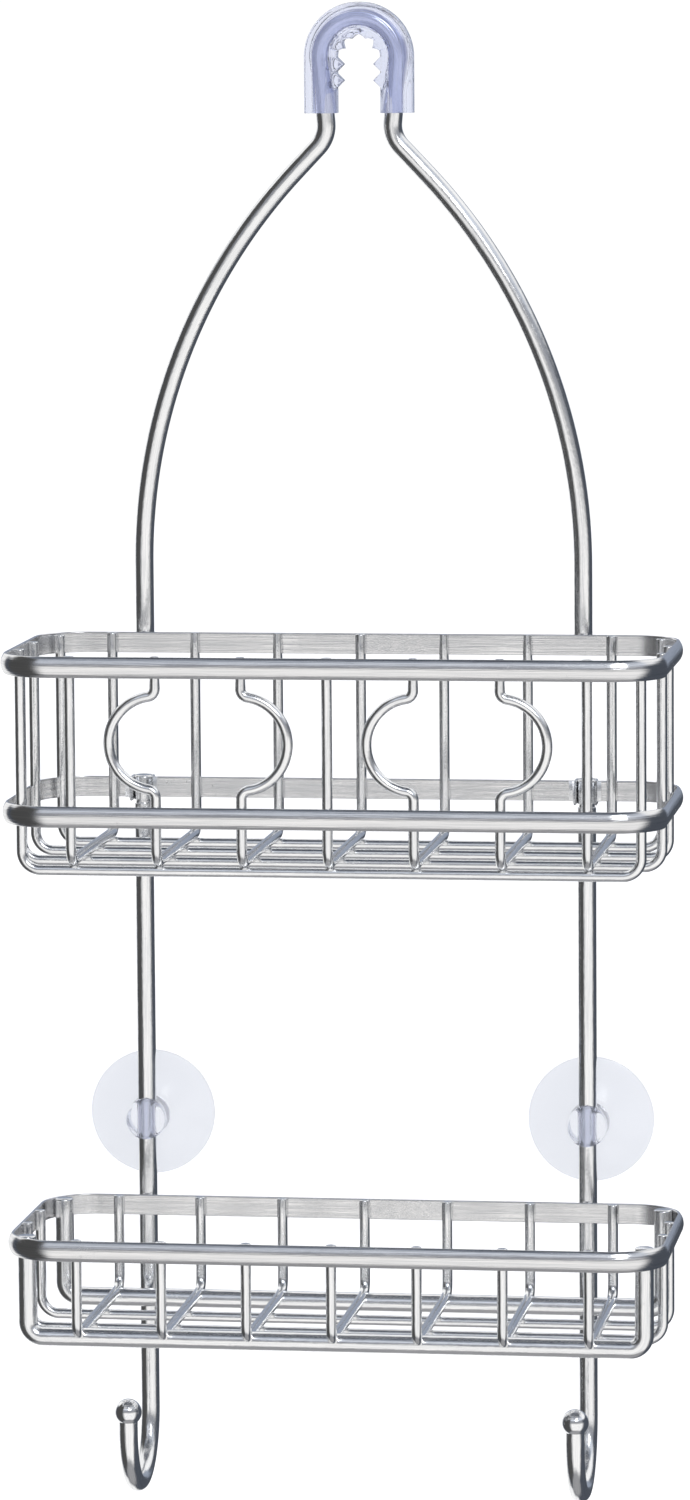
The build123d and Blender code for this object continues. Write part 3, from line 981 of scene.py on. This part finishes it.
    def sleeve_surface(self) -> Surface:
        """The sleeve with its teeth and its bore, as one grid that closes both ways.

        Going out, the section follows the outside; coming back, it is a circle just wider
        than the rod. Point for point the two are joined at both open ends.

        Returns:
            The closed surface.
        """
        flat, tooth = self.sleeve_stations()
        outline, share = self.sleeve_outline()
        line = Centreline.in_plane(flat, ORIGIN, X, Z).facing_away(ORIGIN)
        push = np.clip(-outline[:, 0] / np.abs(outline[:, 0]).max(), 0, 1) * share
        skin = np.repeat(outline[None], len(flat), axis=0)
        skin[:, :, 0] -= tooth[:, None] * push
        leg_x, leg_z = self.leg_line()
        end = np.array([np.interp(self.sleeve_z, leg_z, leg_x), self.sleeve_z])
        whole = self.path()
        inside = whole[whole[:, 1] > self.sleeve_z + 2 * SLACK]
        inside = np.vstack([end, inside, end * (-1, 1)])
        bore_line = Centreline.in_plane(inside, ORIGIN, X, Z).facing_away(ORIGIN)
        bore_line.side[[0, -1]] = line.side[[0, -1]]
        angle = np.arctan2(outline[:, 1], outline[:, 0])
        ring = on_circle((0.0, 0.0), self.radius + self.bore_clear, angle)
        bore = np.repeat(ring[None], len(inside), axis=0)
        grid = np.vstack([line.sections(skin), bore_line.sections(bore)[::-1]])
        reach = np.concatenate([line.length, bore_line.length[::-1]])
        lay = laid(np.vstack([skin, bore]), reach).reshape(-1, 3)
        return Surface(grid.reshape(-1, 3), grid_faces(*grid.shape[:2], loop=True), lay).outward()

    def leg_line(self) -> np.ndarray:
        """X and Z of two points on the rod's straight leg inside the sleeve, lower one first."""
        path = self.half_path()
        low_enough = (path[:, 1] < 0) & (path[:, 0] < 2 * self.crown_r)
        return path[low_enough & (path[:, 1] > self.sleeve_z - 2 * MM)][[0, -1]].T

    def build(self, finishes: Finishes) -> None:
        """Makes the rod and the sleeve."""
        finishes.make("hanger_arch", self.rod_surface(), Slot.THICK_ROD)
        finishes.make("hook_sleeve", self.sleeve_surface(), Slot.CLEAR_VINYL)


@dataclass
class Rim:
    """One rim of half-oval bar, closed or cut at the back.

    Args:
        node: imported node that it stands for.
        corner_r: outside corner radius of the rim.
        thick: thickness of the bar in the middle of its height.
        edge: thickness at its top and bottom.
        soften: radius of the bar's four long edges.
        corner_step: largest angle between two points on a corner, in radians.
    """

    node: str
    corner_r: float = 21.0 * MM
    thick: float = 2.4 * MM
    edge: float = 0.9 * MM
    soften: float = 0.4 * MM
    corner_step: float = 0.09

    def __post_init__(self) -> None:
        """Reads the rim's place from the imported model."""
        self.low, self.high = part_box(self.node)

    def section(self) -> np.ndarray:
        """Section of the bar: a flat inside and an outside that bows.

        The bow is a circle through edge, middle and edge, of the radius (h^2 + b^2) / 2b,
        with h half of the bar's height and b the bow. The flat side has two support points.

        Returns:
            (n, 2) outline, first axis away from the flat side.
        """
        half = (self.high.z - self.low.z) / 2
        bow = self.thick - self.edge
        radius = (half**2 + bow**2) / (2 * bow)
        spread = math.asin(half / radius)
        a = np.linspace(-spread, spread, 13)[1:-1]
        curve = [(self.thick - radius + radius * math.cos(t), radius * math.sin(t)) for t in a]
        corners = [(0.0, -half), (self.edge, -half), *curve, (self.edge, half), (0.0, half)]
        radii = [self.soften, self.soften, *([0.0] * len(curve)), self.soften, self.soften]
        hold = half - 2 * self.soften
        return rounded_outline([*corners, (0.0, hold), (0.0, -hold)], [*radii, 0.0, 0.0])

    def inside_line(self, width: float, depth: float) -> np.ndarray:
        """Inside face of a full rim round its own middle, anticlockwise from the back's middle.

        Args:
            width: outside size along X.
            depth: outside size along Y.

        Returns:
            Points as an (n, 2) array.
        """
        r = self.corner_r - self.thick
        x, y = width / 2 - self.thick, depth / 2 - self.thick
        half = joined(
            run((0.0, y), (r - x, y), LONG_STEP),
            arc((r - x, y - r), r, QUARTER, 2 * QUARTER, self.corner_step),
            run((-x, y - r), (-x, r - y), LONG_STEP),
            arc((r - x, r - y), r, 2 * QUARTER, 3 * QUARTER, self.corner_step),
            run((r - x, -y), (0.0, -y), LONG_STEP),
        )
        return mirrored(half)

    def surface(self) -> Surface:
        """The whole closed rim.

        Returns:
            The closed surface.
        """
        size, middle = self.high - self.low, (self.low + self.high) / 2
        flat = self.inside_line(size.x, size.y)[:-1]
        line = Centreline.in_plane(flat, middle, X, Y, loop=True).facing_away(middle)
        return carried(line, self.section(), loop=True)

    def build(self, finishes: Finishes) -> None:
        """Makes the rim."""
        finishes.make(self.node, self.surface(), Slot.BRUSHED_BAR)


@dataclass
class CutRim(Rim):
    """The middle rim: a front piece that runs round both sides, and a straight back bar.

    Args:
        back_bar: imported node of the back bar.
        margin: points of the full rim closer than this to a cut are left out.
    """

    back_bar: str = "middle_rim_back_bar"
    margin: float = 1.0 * MM

    def cut(self) -> float:
        """Where the front piece ends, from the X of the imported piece's cut faces."""
        points = node_points(self.node)
        return float(np.abs(points[points[:, 1] > self.high.y - self.thick - SLACK, 0]).min())

    def surface(self) -> Surface:
        """The front piece: the full inside line without what lies between the two cuts.

        Returns:
            The closed surface.
        """
        size, middle = self.high - self.low, (self.low + self.high) / 2
        flat = self.inside_line(size.x, size.y)
        cut, back = self.cut(), size.y / 2 - self.thick
        keep = (np.abs(flat[:, 0]) > cut + self.margin) | (flat[:, 1] < back - self.margin)
        flat = np.vstack([(-cut, back), flat[keep], (cut, back)])
        line = Centreline.in_plane(flat, middle, X, Y).facing_away(middle)
        return carried(line, self.section())

    def bar_surface(self) -> Surface:
        """The straight back bar, its rounded side to the wall.

        Returns:
            The closed surface.
        """
        low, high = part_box(self.back_bar)
        middle = Vector((0.0, high.y - self.thick, (low.z + high.z) / 2))
        line = Centreline.in_plane(run((high.x, 0.0), (low.x, 0.0), LONG_STEP), middle, X, Y)
        return carried(line, self.section())

    def build(self, finishes: Finishes) -> None:
        """Makes both pieces."""
        super().build(finishes)
        finishes.make(self.back_bar, self.bar_surface(), Slot.BRUSHED_BAR)


@dataclass
class CrossWire:
    """U-shaped wire across a basket; its front leg may bulge sideways.

    Args:
        node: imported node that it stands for.
        bend: bend radius at the floor.
        blend: radius of the small arcs into and out of the bulge.
        bulge_drop: middle of the bulge below the wire's upper ends.
        radius: radius of the wire.
        least_bulge: a smaller reach to the side is no bulge.
    """

    node: str
    bend: float = 6.0 * MM
    blend: float = 3.2 * MM
    bulge_drop: float = 32.4 * MM
    radius: float = 2.0 * MM
    least_bulge: float = 2.0 * MM

    def __post_init__(self) -> None:
        """Reads the wire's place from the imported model: a bulge shows as a lopsided box."""
        low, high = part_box(self.node)
        self.front, self.back = low.y + self.radius, high.y - self.radius
        self.top, self.floor = high.z, low.z + self.radius
        points = node_points(self.node)
        back_leg = points[points[:, 1] > self.back - self.radius / 2, 0]
        self.x = float(back_leg.min() + back_leg.max()) / 2
        left, right = self.x - self.radius - low.x, high.x - self.radius - self.x
        self.bulge = right if right > left else -left

    def surface(self) -> Surface:
        """The plain U, in the plane of Y and Z.

        Returns:
            The closed surface.
        """
        corners = [
            (self.front, self.top),
            (self.front, self.floor),
            (self.back, self.floor),
            (self.back, self.top),
        ]
        flat = bent(corners, self.bend)
        return rod(flat, Vector((self.x, 0, 0)), Y, Z, self.radius, WIRE_ROUND, WIRE_SIDES)

    def bulged_surface(self) -> Surface:
        """The U whose front leg steps into a C and back, each step a small tangent arc.

        The C is a circle of the bulge's reach round a centre on the leg's line, and a blend
        of radius b meets it at the height sqrt((R + b)^2 - b^2).

        Returns:
            The closed surface.
        """
        r, side = abs(self.bulge), math.copysign(1.0, self.bulge)
        rise = math.sqrt((r + self.blend) ** 2 - self.blend**2)
        tilt = math.atan2(rise, self.blend)
        z = self.top - self.bulge_drop
        down = [
            run((0.0, self.top), (0.0, z + rise)),
            arc((self.blend, z + rise), self.blend, math.pi, math.pi + tilt, 0.12),
            arc((0.0, z), r, tilt, -tilt, 0.08),
            arc((self.blend, z - rise), self.blend, math.pi - tilt, math.pi, 0.12),
            run((0.0, z - rise), (0.0, self.floor + self.bend)),
        ]
        leg = joined(*down) * np.array([side, 1.0])
        start = (self.front, self.floor + self.bend)
        corners = [start, (self.front, self.floor), (self.back, self.floor), (self.back, self.top)]
        rest = bent(corners, self.bend)[2:]
        front = np.stack([self.x + leg[:, 0], np.full(len(leg), self.front), leg[:, 1]], axis=1)
        floor = np.stack([np.full(len(rest), self.x), rest[:, 0], rest[:, 1]], axis=1)
        return self.tube(np.vstack([front, floor]), len(leg))

    def tube(self, points: np.ndarray, turn: int) -> Surface:
        """Round wire that bends first in the plane of X and Z and then in that of Y and Z.

        Up to the turn the section's normal is +Y and its side is normal x tangent; after
        it the side is -X and the normal tangent x side. On the straight leg both agree.

        Args:
            points: (n, 3) points.
            turn: number of points in the first plane.

        Returns:
            The closed surface.
        """
        tangent = unit(np.gradient(points, axis=0))
        first = np.arange(len(points))[:, None] < turn
        side = np.where(first, np.cross((0.0, 1.0, 0.0), tangent), (-1.0, 0.0, 0.0))
        normal = np.where(first, (0.0, 1.0, 0.0), np.cross(tangent, (-1.0, 0.0, 0.0)))
        line = Centreline(points, side, normal, distances(points))
        radii = np.full(len(points), self.radius)
        radii[[0, -1]] = self.radius - WIRE_ROUND
        return carried(line, circle(1.0, WIRE_SIDES)[None] * radii[:, None, None])

    def build(self, finishes: Finishes) -> None:
        """Makes the wire."""
        surface = self.bulged_surface() if abs(self.bulge) > self.least_bulge else self.surface()
        finishes.make(self.node, surface, Slot.BASKET_WIRE)


@dataclass
class LongPiece:
    """Lengthwise wire or rail with both ends turned up.

    Args:
        node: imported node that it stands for.
        slot: slot of its finish.
        bend: bend radius.
        end_round: rounding of the cut ends.
        sides: points round its section.
    """

    node: str
    slot: Slot
    bend: float
    end_round: float
    sides: int

    def surface(self) -> Surface:
        """The U in the plane of X and Z.

        Returns:
            The closed surface.
        """
        low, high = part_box(self.node)
        radius = (high.y - low.y) / 2
        y, x, floor = (low.y + high.y) / 2, high.x - radius, low.z + radius
        flat = bent([(-x, high.z), (-x, floor), (x, floor), (x, high.z)], self.bend)
        return rod(flat, Vector((0, y, 0)), X, Z, radius, self.end_round, self.sides)

    def build(self, finishes: Finishes) -> None:
        """Makes the piece."""
        finishes.make(self.node, self.surface(), self.slot)


@dataclass
class Upright:
    """One upright with its socket clip, towel hook ball and suction cup.

    Args:
        side: left or right.
        hook_r: radius of the towel hook.
        groove_half: half width of the turned groove.
        groove_depth: depth of the groove.
        groove_drop: lower edge of the middle rim down to the groove.
        ball_r: radius of the ball.
        sheet: thickness of the clip's sheet.
        lip: how far the clip's channel reaches below its ears.
        clip_bend: bend radius of the clip's ears at the middle of the sheet.
        clip_bevel: bevel along the edges of the sheet.
        step_start: start of the step in its lower edge, outwards from the channel.
        step_length: length of that step.
        bore_clear: gap between the upright and the cup's bore.
        bore_depth: end of the ball's blind bore below the ball's middle.
    """

    side: Side
    hook_r: float = 25.0 * MM
    groove_half: float = 0.85 * MM
    groove_depth: float = 0.5 * MM
    groove_drop: float = 2.3 * MM
    ball_r: float = 5.2 * MM
    sheet: float = 0.8 * MM
    lip: float = 1.6 * MM
    clip_bend: float = 0.9 * MM
    clip_bevel: float = 0.2 * MM
    step_start: float = 0.1 * MM
    step_length: float = 0.8 * MM
    bore_clear: float = 0.1 * MM
    bore_depth: float = 0.4 * MM

    def __post_init__(self) -> None:
        """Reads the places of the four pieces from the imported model."""
        self.low, self.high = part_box(self.node("upright"))
        self.radius = (self.high.x - self.low.x) / 2
        self.x = (self.high.x + self.low.x) / 2

    def node(self, piece: str) -> str:
        """Name of one of this side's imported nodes."""
        return self.side.value + "_" + piece

    def rod_surface(self) -> Surface:
        """The upright: a straight rod, a half circle to the front and a short lip.

        Returns:
            The closed surface.
        """
        rim_low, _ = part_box("middle_rim_back_bar")
        ball_low, ball_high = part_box(self.node("hook_ball"))
        centre_z, r = self.low.z + self.radius + self.hook_r, self.hook_r
        flat = joined(
            run((0.0, self.high.z), (0.0, centre_z), LONG_STEP),
            arc((-r, centre_z), r, 0.0, -math.pi, 0.07),
            run((-2 * r, centre_z), (-2 * r, (ball_low.z + ball_high.z) / 2)),
        )
        groove = self.high.z - (rim_low.z - self.groove_drop)
        keep = self.high.z - flat[:, 1] > groove + 2 * MM
        keep[0] = True
        neck, origin = (groove, self.groove_half, self.groove_depth), Vector((self.x, 0, 0))
        return rod(flat[keep], origin, Y, Z, self.radius, ROD_ROUND, ROD_SIDES, neck)

    def ball_surface(self) -> Surface:
        """Ball of circle profile with a blind bore that the hook's tip fills.

        Returns:
            The closed surface.
        """
        low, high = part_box(self.node("hook_ball"))
        mouth = math.asin(self.radius / self.ball_r)
        skin = on_circle((0.0, 0.0), self.ball_r, np.linspace(0.0, math.pi - mouth, 40))[:, ::-1]
        profile = np.vstack([skin, (self.radius, -self.bore_depth), (0.0, -self.bore_depth)])
        centre = Vector((self.x, (low.y + high.y) / 2, high.z - self.ball_r))
        return turned(profile, centre, Z, X, 64)

    def clip_surface(self) -> Surface:
        """The clip: sheet from ear to ear round the rod, in plan an omega.

        The section is the sheet's thickness by its height; its lower edge drops by the lip
        where the sheet leaves the ears, as a smooth step along the way.

        Returns:
            The closed surface.
        """
        low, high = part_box(self.node("socket_clip"))
        bar_low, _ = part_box("middle_rim_back_bar")
        reach = (high.x - low.x) / 2
        r = self.radius + self.sheet / 2
        ear_y = low.y + self.sheet / 2
        flat = joined(
            bent([(-reach, ear_y), (-r, ear_y), (-r, 0.0)], self.clip_bend),
            arc((0.0, 0.0), r, math.pi, 0.0, 0.12),
            bent([(r, 0.0), (r, ear_y), (reach, ear_y)], self.clip_bend),
        )
        line = Centreline.in_plane(flat, Vector((self.x, 0, 0)), X, Y)
        out = np.clip((np.abs(flat[:, 0]) - r - self.step_start) / self.step_length, 0, 1)
        foot = bar_low.z - (1 - out * out * (3 - 2 * out)) * self.lip
        t, e = self.sheet / 2, self.clip_bevel
        lower = [(-t, e), (-t + e, 0.0), (t - e, 0.0), (t, e)]
        upper = [(t, -e), (t - e, 0.0), (-t + e, 0.0), (-t, -e)]
        shape = np.repeat(np.array(lower + upper)[None], len(flat), axis=0)
        shape[:, : len(lower), 1] += foot[:, None]
        shape[:, len(lower) :, 1] += high.z
        return carried(line, shape)

    def cup_mesh(self) -> bpy.types.Mesh:
        """The cup: a dished disc and a knob turned about Y, bored through along Z.

        Returns:
            The mesh, its bore cut by an exact difference with a rod-sized cylinder.
        """
        low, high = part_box(self.node("suction_cup"))
        centre = Vector((self.x, 0.0, (low.z + high.z) / 2))
        cup = CupProfile(disc_r=(high.x - low.x) / 2, front=-low.y, wall=high.y)
        body = turned(cup.points(), centre, Y, X, 112)
        length = run((centre.z - cup.disc_r, 0.0), (centre.z + cup.disc_r, 0.0))
        clear, origin = self.bore_clear, Vector((self.x, 0, 0))
        bore = rod(length, origin, Z, Y, self.radius + clear, clear, 64)
        blank = bpy.data.objects.new("blank", to_mesh("blank", body))
        drill = bpy.data.objects.new("drill", to_mesh("drill", bore))
        for thing in (blank, drill):
            bpy.context.scene.collection.objects.link(thing)
        cut = blank.modifiers.new("bore", "BOOLEAN")
        cut.operation, cut.solver, cut.object = "DIFFERENCE", "EXACT", drill
        view = bpy.context.evaluated_depsgraph_get()
        mesh = bpy.data.meshes.new_from_object(blank.evaluated_get(view))
        bpy.data.objects.remove(blank)
        bpy.data.objects.remove(drill)
        mesh.name = self.node("suction_cup") + "_finished"
        mesh.set_sharp_from_angle(angle=SHARP)
        return mesh

    def build(self, finishes: Finishes) -> None:
        """Makes the four pieces of this side."""
        finishes.make(self.node("upright"), self.rod_surface(), Slot.THICK_ROD)
        finishes.make(self.node("hook_ball"), self.ball_surface(), Slot.BRIGHT_BALL)
        finishes.make(self.node("socket_clip"), self.clip_surface(), Slot.CLIP_SHEET)
        finishes.place(self.node("suction_cup"), self.cup_mesh(), Slot.CLEAR_CUP)


@dataclass
class CupProfile:
    """Half profile of a suction cup, from its front pole round to its wall-side pole.

    Args:
        disc_r: radius of the disc.
        front: how far the knob's face stands in front of the rod's axis.
        wall: how far the wall lies behind the rod's axis.
        knob_r: radius of the knob.
        knob_edge: rounding of the knob's face.
        waist: wall out to the front and to the back of the groove behind the knob.
        waist_depth: depth of that groove.
        root: wall out to the front of the disc beside the knob.
        rim: wall out to the front of the disc at its lip.
        slope: power of the fall from root to rim.
        lip: wall out to the front and back of the lip's outer edge.
        lip_slope: how far the disc's front ends inside the lip.
        lip_bevel: bevel towards the wall.
        land: flat ring inside the lip that lies on the wall.
        dish_depth: depth of the hollow behind the disc.
        dish_flat: radius of its flat bottom.
        dish_slope: power of the hollow's rise.
    """

    disc_r: float
    front: float
    wall: float
    knob_r: float = 7.95 * MM
    knob_edge: float = 1.2 * MM
    waist: tuple[float, float] = (7.6 * MM, 6.3 * MM)
    waist_depth: float = 0.9 * MM
    root: float = 5.4 * MM
    rim: float = 0.9 * MM
    slope: float = 1.6
    lip: tuple[float, float] = (0.45 * MM, 0.1 * MM)
    lip_slope: float = 0.6 * MM
    lip_bevel: float = 0.2 * MM
    land: float = 1.0 * MM
    dish_depth: float = 3.2 * MM
    dish_flat: float = 4.0 * MM
    dish_slope: float = 1.5

    def points(self) -> np.ndarray:
        """Knob with a rounded edge and a waist, a disc that thins to its lip, a dished back.

        With t from nought to one along each stretch, the waist's radius is the knob's less
        half its depth times 1 - cos(2 pi t), the disc's front lies rim + (root - rim)
        (1 - t)^slope off the wall, and the hollow is depth (1 - (1 - t)^slope) deep.

        Returns:
            (n, 2) points: distance from the axis, and distance behind the rod's axis.
        """
        k, r, w, f, e = self.knob_r, self.disc_r, self.wall, -self.front, self.knob_edge
        face = [(0.0, f), (0.3 * k, f), (0.6 * k, f)]
        edge = arc((k - e, f + e), e, -QUARTER, 0.0, 0.2)
        t = np.linspace(0.0, 1.0, 9)
        groove = k - self.waist_depth / 2 * (1 - np.cos(2 * math.pi * t))
        waist = np.stack([groove, w - self.waist[0] + (self.waist[0] - self.waist[1]) * t], axis=1)
        t = np.linspace(0.0, 1.0, 24)
        off = self.rim + (self.root - self.rim) * (1 - t) ** self.slope
        disc = np.stack([k + (r - self.lip_slope - k) * t, w - off], axis=1)
        lip = [(r, w - self.lip[0]), (r, w - self.lip[1]), (r - self.lip_bevel, w)]
        t = np.linspace(0.0, 1.0, 20)
        hollow = self.dish_depth * (1 - (1 - t) ** self.dish_slope)
        dish = np.stack([(r - self.land) * (1 - t) + self.dish_flat * t, w - hollow], axis=1)
        return np.vstack([face, edge, waist, disc[1:], lip, dish, (0.0, w - self.dish_depth)])


@dataclass
class Basket:
    """All wires and rails of one basket.

    Args:
        name: upper or lower.
        cross_count: number of cross wires.
        long_count: number of thin lengthwise wires.
        wire_bend: bend radius of the lengthwise wires.
        rail_bend: bend radius of the rails.
    """

    name: str
    cross_count: int
    long_count: int
    wire_bend: float = 7.0 * MM
    rail_bend: float = 5.6 * MM

    def build(self, finishes: Finishes) -> None:
        """Makes the wires and the two rails.

        Args:
            finishes: the materials.
        """
        for i in range(self.cross_count):
            CrossWire(f"{self.name}_cross_wire_{i + 1}").build(finishes)
        for i in range(self.long_count):
            wire = f"{self.name}_long_wire_{i + 1}"
            LongPiece(wire, Slot.BASKET_WIRE, self.wire_bend, WIRE_ROUND, WIRE_SIDES).build(finishes)
        for edge in ("front", "back"):
            rail = f"{self.name}_{edge}_rail"
            if rail in frame["nodes"]:
                LongPiece(rail, Slot.THICK_ROD, self.rail_bend, ROD_ROUND, ROD_SIDES).build(finishes)


# ---------------------------------------------------------------- studio


@dataclass(frozen=True)
class Panel:
    """A soft light panel or a dark flag of the studio, by the directions that it fills.

    Args:
        heading: middle of the panel, in degrees from the front towards +X.
        half_width: half of its width in degrees.
        low: lower edge in degrees above the horizon.
        high: upper edge.
        colour: radiance in red, green and blue.
        fade: width of its soft upright edges in degrees.
        rise: width of its soft lower and upper edges in degrees.
        share: how much of what lies behind it it covers.
        clear_only: whether it is only seen through the clear plastic.
    """

    heading: float
    half_width: float
    low: float
    high: float
    colour: tuple[float, float, float]
    fade: float = 10.0
    rise: float = 10.0
    share: float = 1.0
    clear_only: bool = False


@dataclass
class Studio:
    """Pale floor, soft panels all round and the camera.

    Args:
        floor_drop: floor below the lowest point of the caddy.
        floor_half: half size of the floor.
        lens: focal length in millimetres.
        sensor: long side of the sensor in millimetres.
        clip: nearest and farthest distance that the camera sees.
        position: place of the camera.
        yaw: turn of the camera from +Y towards -X, in degrees.
        pitch: tilt below the horizon, in degrees.
        roll: turn about the line of sight, in radians.
        overhead: radiance where no panel stands.
        backdrop: radiance behind the caddy, as the camera sees it.
        lamp_at: place of the soft box.
        lamp_aim: the point that it faces.
        lamp_size: length of its sides.
        lamp_power: its power in watts.
        panels: the panels, each over the ones before it.
    """

    floor_drop: float = 0.35
    floor_half: float = 9.0
    lens: float = 152.38
    sensor: float = 36.0
    clip: tuple[float, float] = (0.05, 60.0)
    position: tuple[float, float, float] = (0.33846, -2.41735, 0.01712)
    yaw: float = 8.142
    pitch: float = 6.633
    roll: float = -0.0074
    overhead: tuple[float, float, float] = (0.075, 0.085, 0.105)
    backdrop: float = 1.05
    lamp_at: tuple[float, float, float] = (0.9, -2.2, 1.3)
    lamp_aim: tuple[float, float, float] = (0.0, -0.05, -0.27)
    lamp_size: float = 1.2
    lamp_power: float = 16.0
    panels: tuple[Panel, ...] = (
        Panel(0.0, 400.0, -120.0, -62.0, (0.34, 0.34, 0.35), rise=16.0),
        Panel(0.0, 400.0, 45.0, 60.0, (0.28, 0.31, 0.37), rise=6.0),
        Panel(0.0, 400.0, 24.0, 46.0, (0.68, 0.72, 0.80), rise=8.0),
        Panel(180.0, 92.0, 24.0, 62.0, (1.0, 1.0, 1.0), fade=20.0, rise=14.0),
        Panel(-150.0, 26.0, -56.0, 62.0, (1.0, 1.0, 1.0), fade=10.0, rise=12.0),
        Panel(0.0, 75.0, 8.0, 24.0, (0.30, 0.31, 0.34), fade=20.0, rise=5.0),
        Panel(-72.0, 34.0, -60.0, 52.0, (0.075, 0.075, 0.075), fade=14.0, rise=10.0),
        Panel(180.0, 26.0, -3.0, 24.0, (0.30, 0.34, 0.42), fade=12.0, rise=5.0),
        Panel(23.0, 54.0, -58.0, 4.0, (1.0, 0.99, 0.98), fade=30.0, rise=18.0),
        Panel(0.0, 400.0, -120.0, 120.0, (0.80, 0.81, 0.95), share=0.55, clear_only=True),
        Panel(184.0, 46.0, -70.0, 60.0, (1.0, 1.0, 1.0), fade=24.0, rise=16.0, clear_only=True),
    )

    def share_of(self, panel: Panel, heading: object, height: object, n: Nodes) -> bpy.types.NodeSocket:
        """How much of the view in a direction a panel fills, 0 to 1.

        Args:
            panel: the panel.
            heading: socket with the direction's heading in radians.
            height: socket with its angle above the horizon.
            n: helper on the world's tree.

        Returns:
            The share, with soft edges.
        """
        off = n.math("WRAP", n.math("SUBTRACT", heading, math.radians(panel.heading)), math.pi)
        off.node.inputs[2].default_value = -math.pi
        fade, rise, half, low, high = (
            math.radians(v) for v in (panel.fade, panel.rise, panel.half_width, panel.low, panel.high)
        )
        wide = n.spread(n.math("ABSOLUTE", off), half - fade / 2, half + fade / 2, 1.0, 0.0)
        over = n.spread(height, low - rise / 2, low + rise / 2)
        under = n.spread(height, high - rise / 2, high + rise / 2, 1.0, 0.0)
        lit = n.math("MULTIPLY", n.math("MULTIPLY", wide, over), under)
        return n.math("MULTIPLY", lit, panel.share)

    def world(self) -> None:
        """White to the eye; in reflections and through the plastic, the panels."""
        world = bpy.data.worlds.new("studio")
        bpy.context.scene.world = world
        world.use_nodes = True
        n = Nodes(world.node_tree)
        way = n.add("ShaderNodeTexCoord").outputs["Generated"]
        part = n.add("ShaderNodeSeparateXYZ", {0: way}).outputs
        heading = n.math("ARCTAN2", part[0], n.math("MULTIPLY", part[1], -1.0))
        height = n.math("ARCSINE", part[2])
        path = n.add("ShaderNodeLightPath").outputs
        glow = (*self.overhead, 1.0)
        for panel in self.panels:
            lit = self.share_of(panel, heading, height, n)
            if panel.clear_only:
                lit = n.math("MULTIPLY", lit, path["Is Transmission Ray"])
            glow = n.blend(lit, glow, (*panel.colour, 1.0))
        studio = n.add("ShaderNodeBackground", {"Color": glow, "Strength": 1.0}).outputs[0]
        backdrop = {"Color": (1.0, 1.0, 1.0, 1.0), "Strength": self.backdrop}
        white = n.add("ShaderNodeBackground", backdrop).outputs[0]
        mixed = n.add("ShaderNodeMixShader", {0: path["Is Camera Ray"], 1: studio, 2: white})
        n.add("ShaderNodeOutputWorld", {"Surface": mixed.outputs[0]})

    def floor(self, low: Vector) -> None:
        """Plain pale floor, evenly lit, with a faint cloudy tone.

        Args:
            low: lowest corner of the caddy.
        """
        half, z = self.floor_half, low.z - self.floor_drop
        corners = [(-half, -half, z), (half, -half, z), (half, half, z), (-half, half, z)]
        mesh = bpy.data.meshes.new("floor")
        mesh.from_pydata(corners, [], [(0, 1, 2, 3)])
        floor = bpy.data.objects.new("floor", mesh)
        bpy.context.scene.collection.objects.link(floor)
        floor.visible_glossy = False
        floor.visible_transmission = False
        material, n = new_material("pale_floor")
        where = n.add("ShaderNodeTexCoord").outputs["Object"]
        tone = n.blend(n.noise(where, 0.7, 2.0), (0.93, 0.93, 0.935, 1.0), (0.96, 0.96, 0.96, 1.0))
        skin = {"Base Color": tone, "Roughness": 0.9, "Emission Color": tone, "Emission Strength": 0.75}
        shader = n.add("ShaderNodeBsdfPrincipled", skin)
        n.add("ShaderNodeOutputMaterial", {"Surface": shader.outputs[0]})
        mesh.materials.append(material)

    def camera(self) -> None:
        """Camera at the height of the hook, a little to the right, looking slightly down."""
        yaw, pitch = math.radians(self.yaw), math.radians(self.pitch)
        level = Vector((-math.sin(yaw), math.cos(yaw), 0.0))
        ahead = level * math.cos(pitch) - Z * math.sin(pitch)
        right = ahead.cross(Z).normalized()
        up = right.cross(ahead)
        across = right * math.cos(self.roll) + up * math.sin(self.roll)
        upright = up * math.cos(self.roll) - right * math.sin(self.roll)
        turn = Matrix((across, upright, -ahead)).transposed().to_4x4()
        data = bpy.data.cameras.new("camera")
        data.lens, data.sensor_width, data.sensor_fit = self.lens, self.sensor, "AUTO"
        data.clip_start, data.clip_end = self.clip
        camera = bpy.data.objects.new("camera", data)
        bpy.context.scene.collection.objects.link(camera)
        camera.matrix_world = Matrix.Translation(self.position) @ turn
        bpy.context.scene.camera = camera

    def lamp(self) -> None:
        """One square soft box that faces the baskets; the camera doesn't see it."""
        data = bpy.data.lights.new("soft_box_front", "AREA")
        data.shape, data.size, data.energy = "SQUARE", self.lamp_size, self.lamp_power
        lamp = bpy.data.objects.new("soft_box_front", data)
        bpy.context.scene.collection.objects.link(lamp)
        lamp.rotation_mode = "QUATERNION"
        lamp.rotation_quaternion = (Vector(self.lamp_aim) - Vector(self.lamp_at)).to_track_quat("-Z", "Y")
        lamp.location = self.lamp_at
        lamp.visible_camera = False

    def build(self, low: Vector) -> None:
        """Makes the studio round the caddy, whose lowest corner is given."""
        self.world()
        self.floor(low)
        self.camera()
        self.lamp()
        bpy.context.scene.view_settings.view_transform = "Standard"


def main() -> None:
    """Builds the caddy from hook to towel hooks, then the studio."""
    logging.basicConfig(level=logging.INFO, format="%(name)s %(message)s")
    finishes = Finishes.build()
    assemblies = [
        Hanger(),
        Rim("upper_top_rim"),
        CutRim("upper_middle_rim"),
        Rim("lower_rim"),
        Basket("upper", cross_count=7, long_count=4),
        Basket("lower", cross_count=7, long_count=2),
        Upright(Side.LEFT),
        Upright(Side.RIGHT),
    ]
    for assembly in assemblies:
        assembly.build(finishes)
    Studio().build(cad_box[0])


if __name__ == "__main__":
    main()
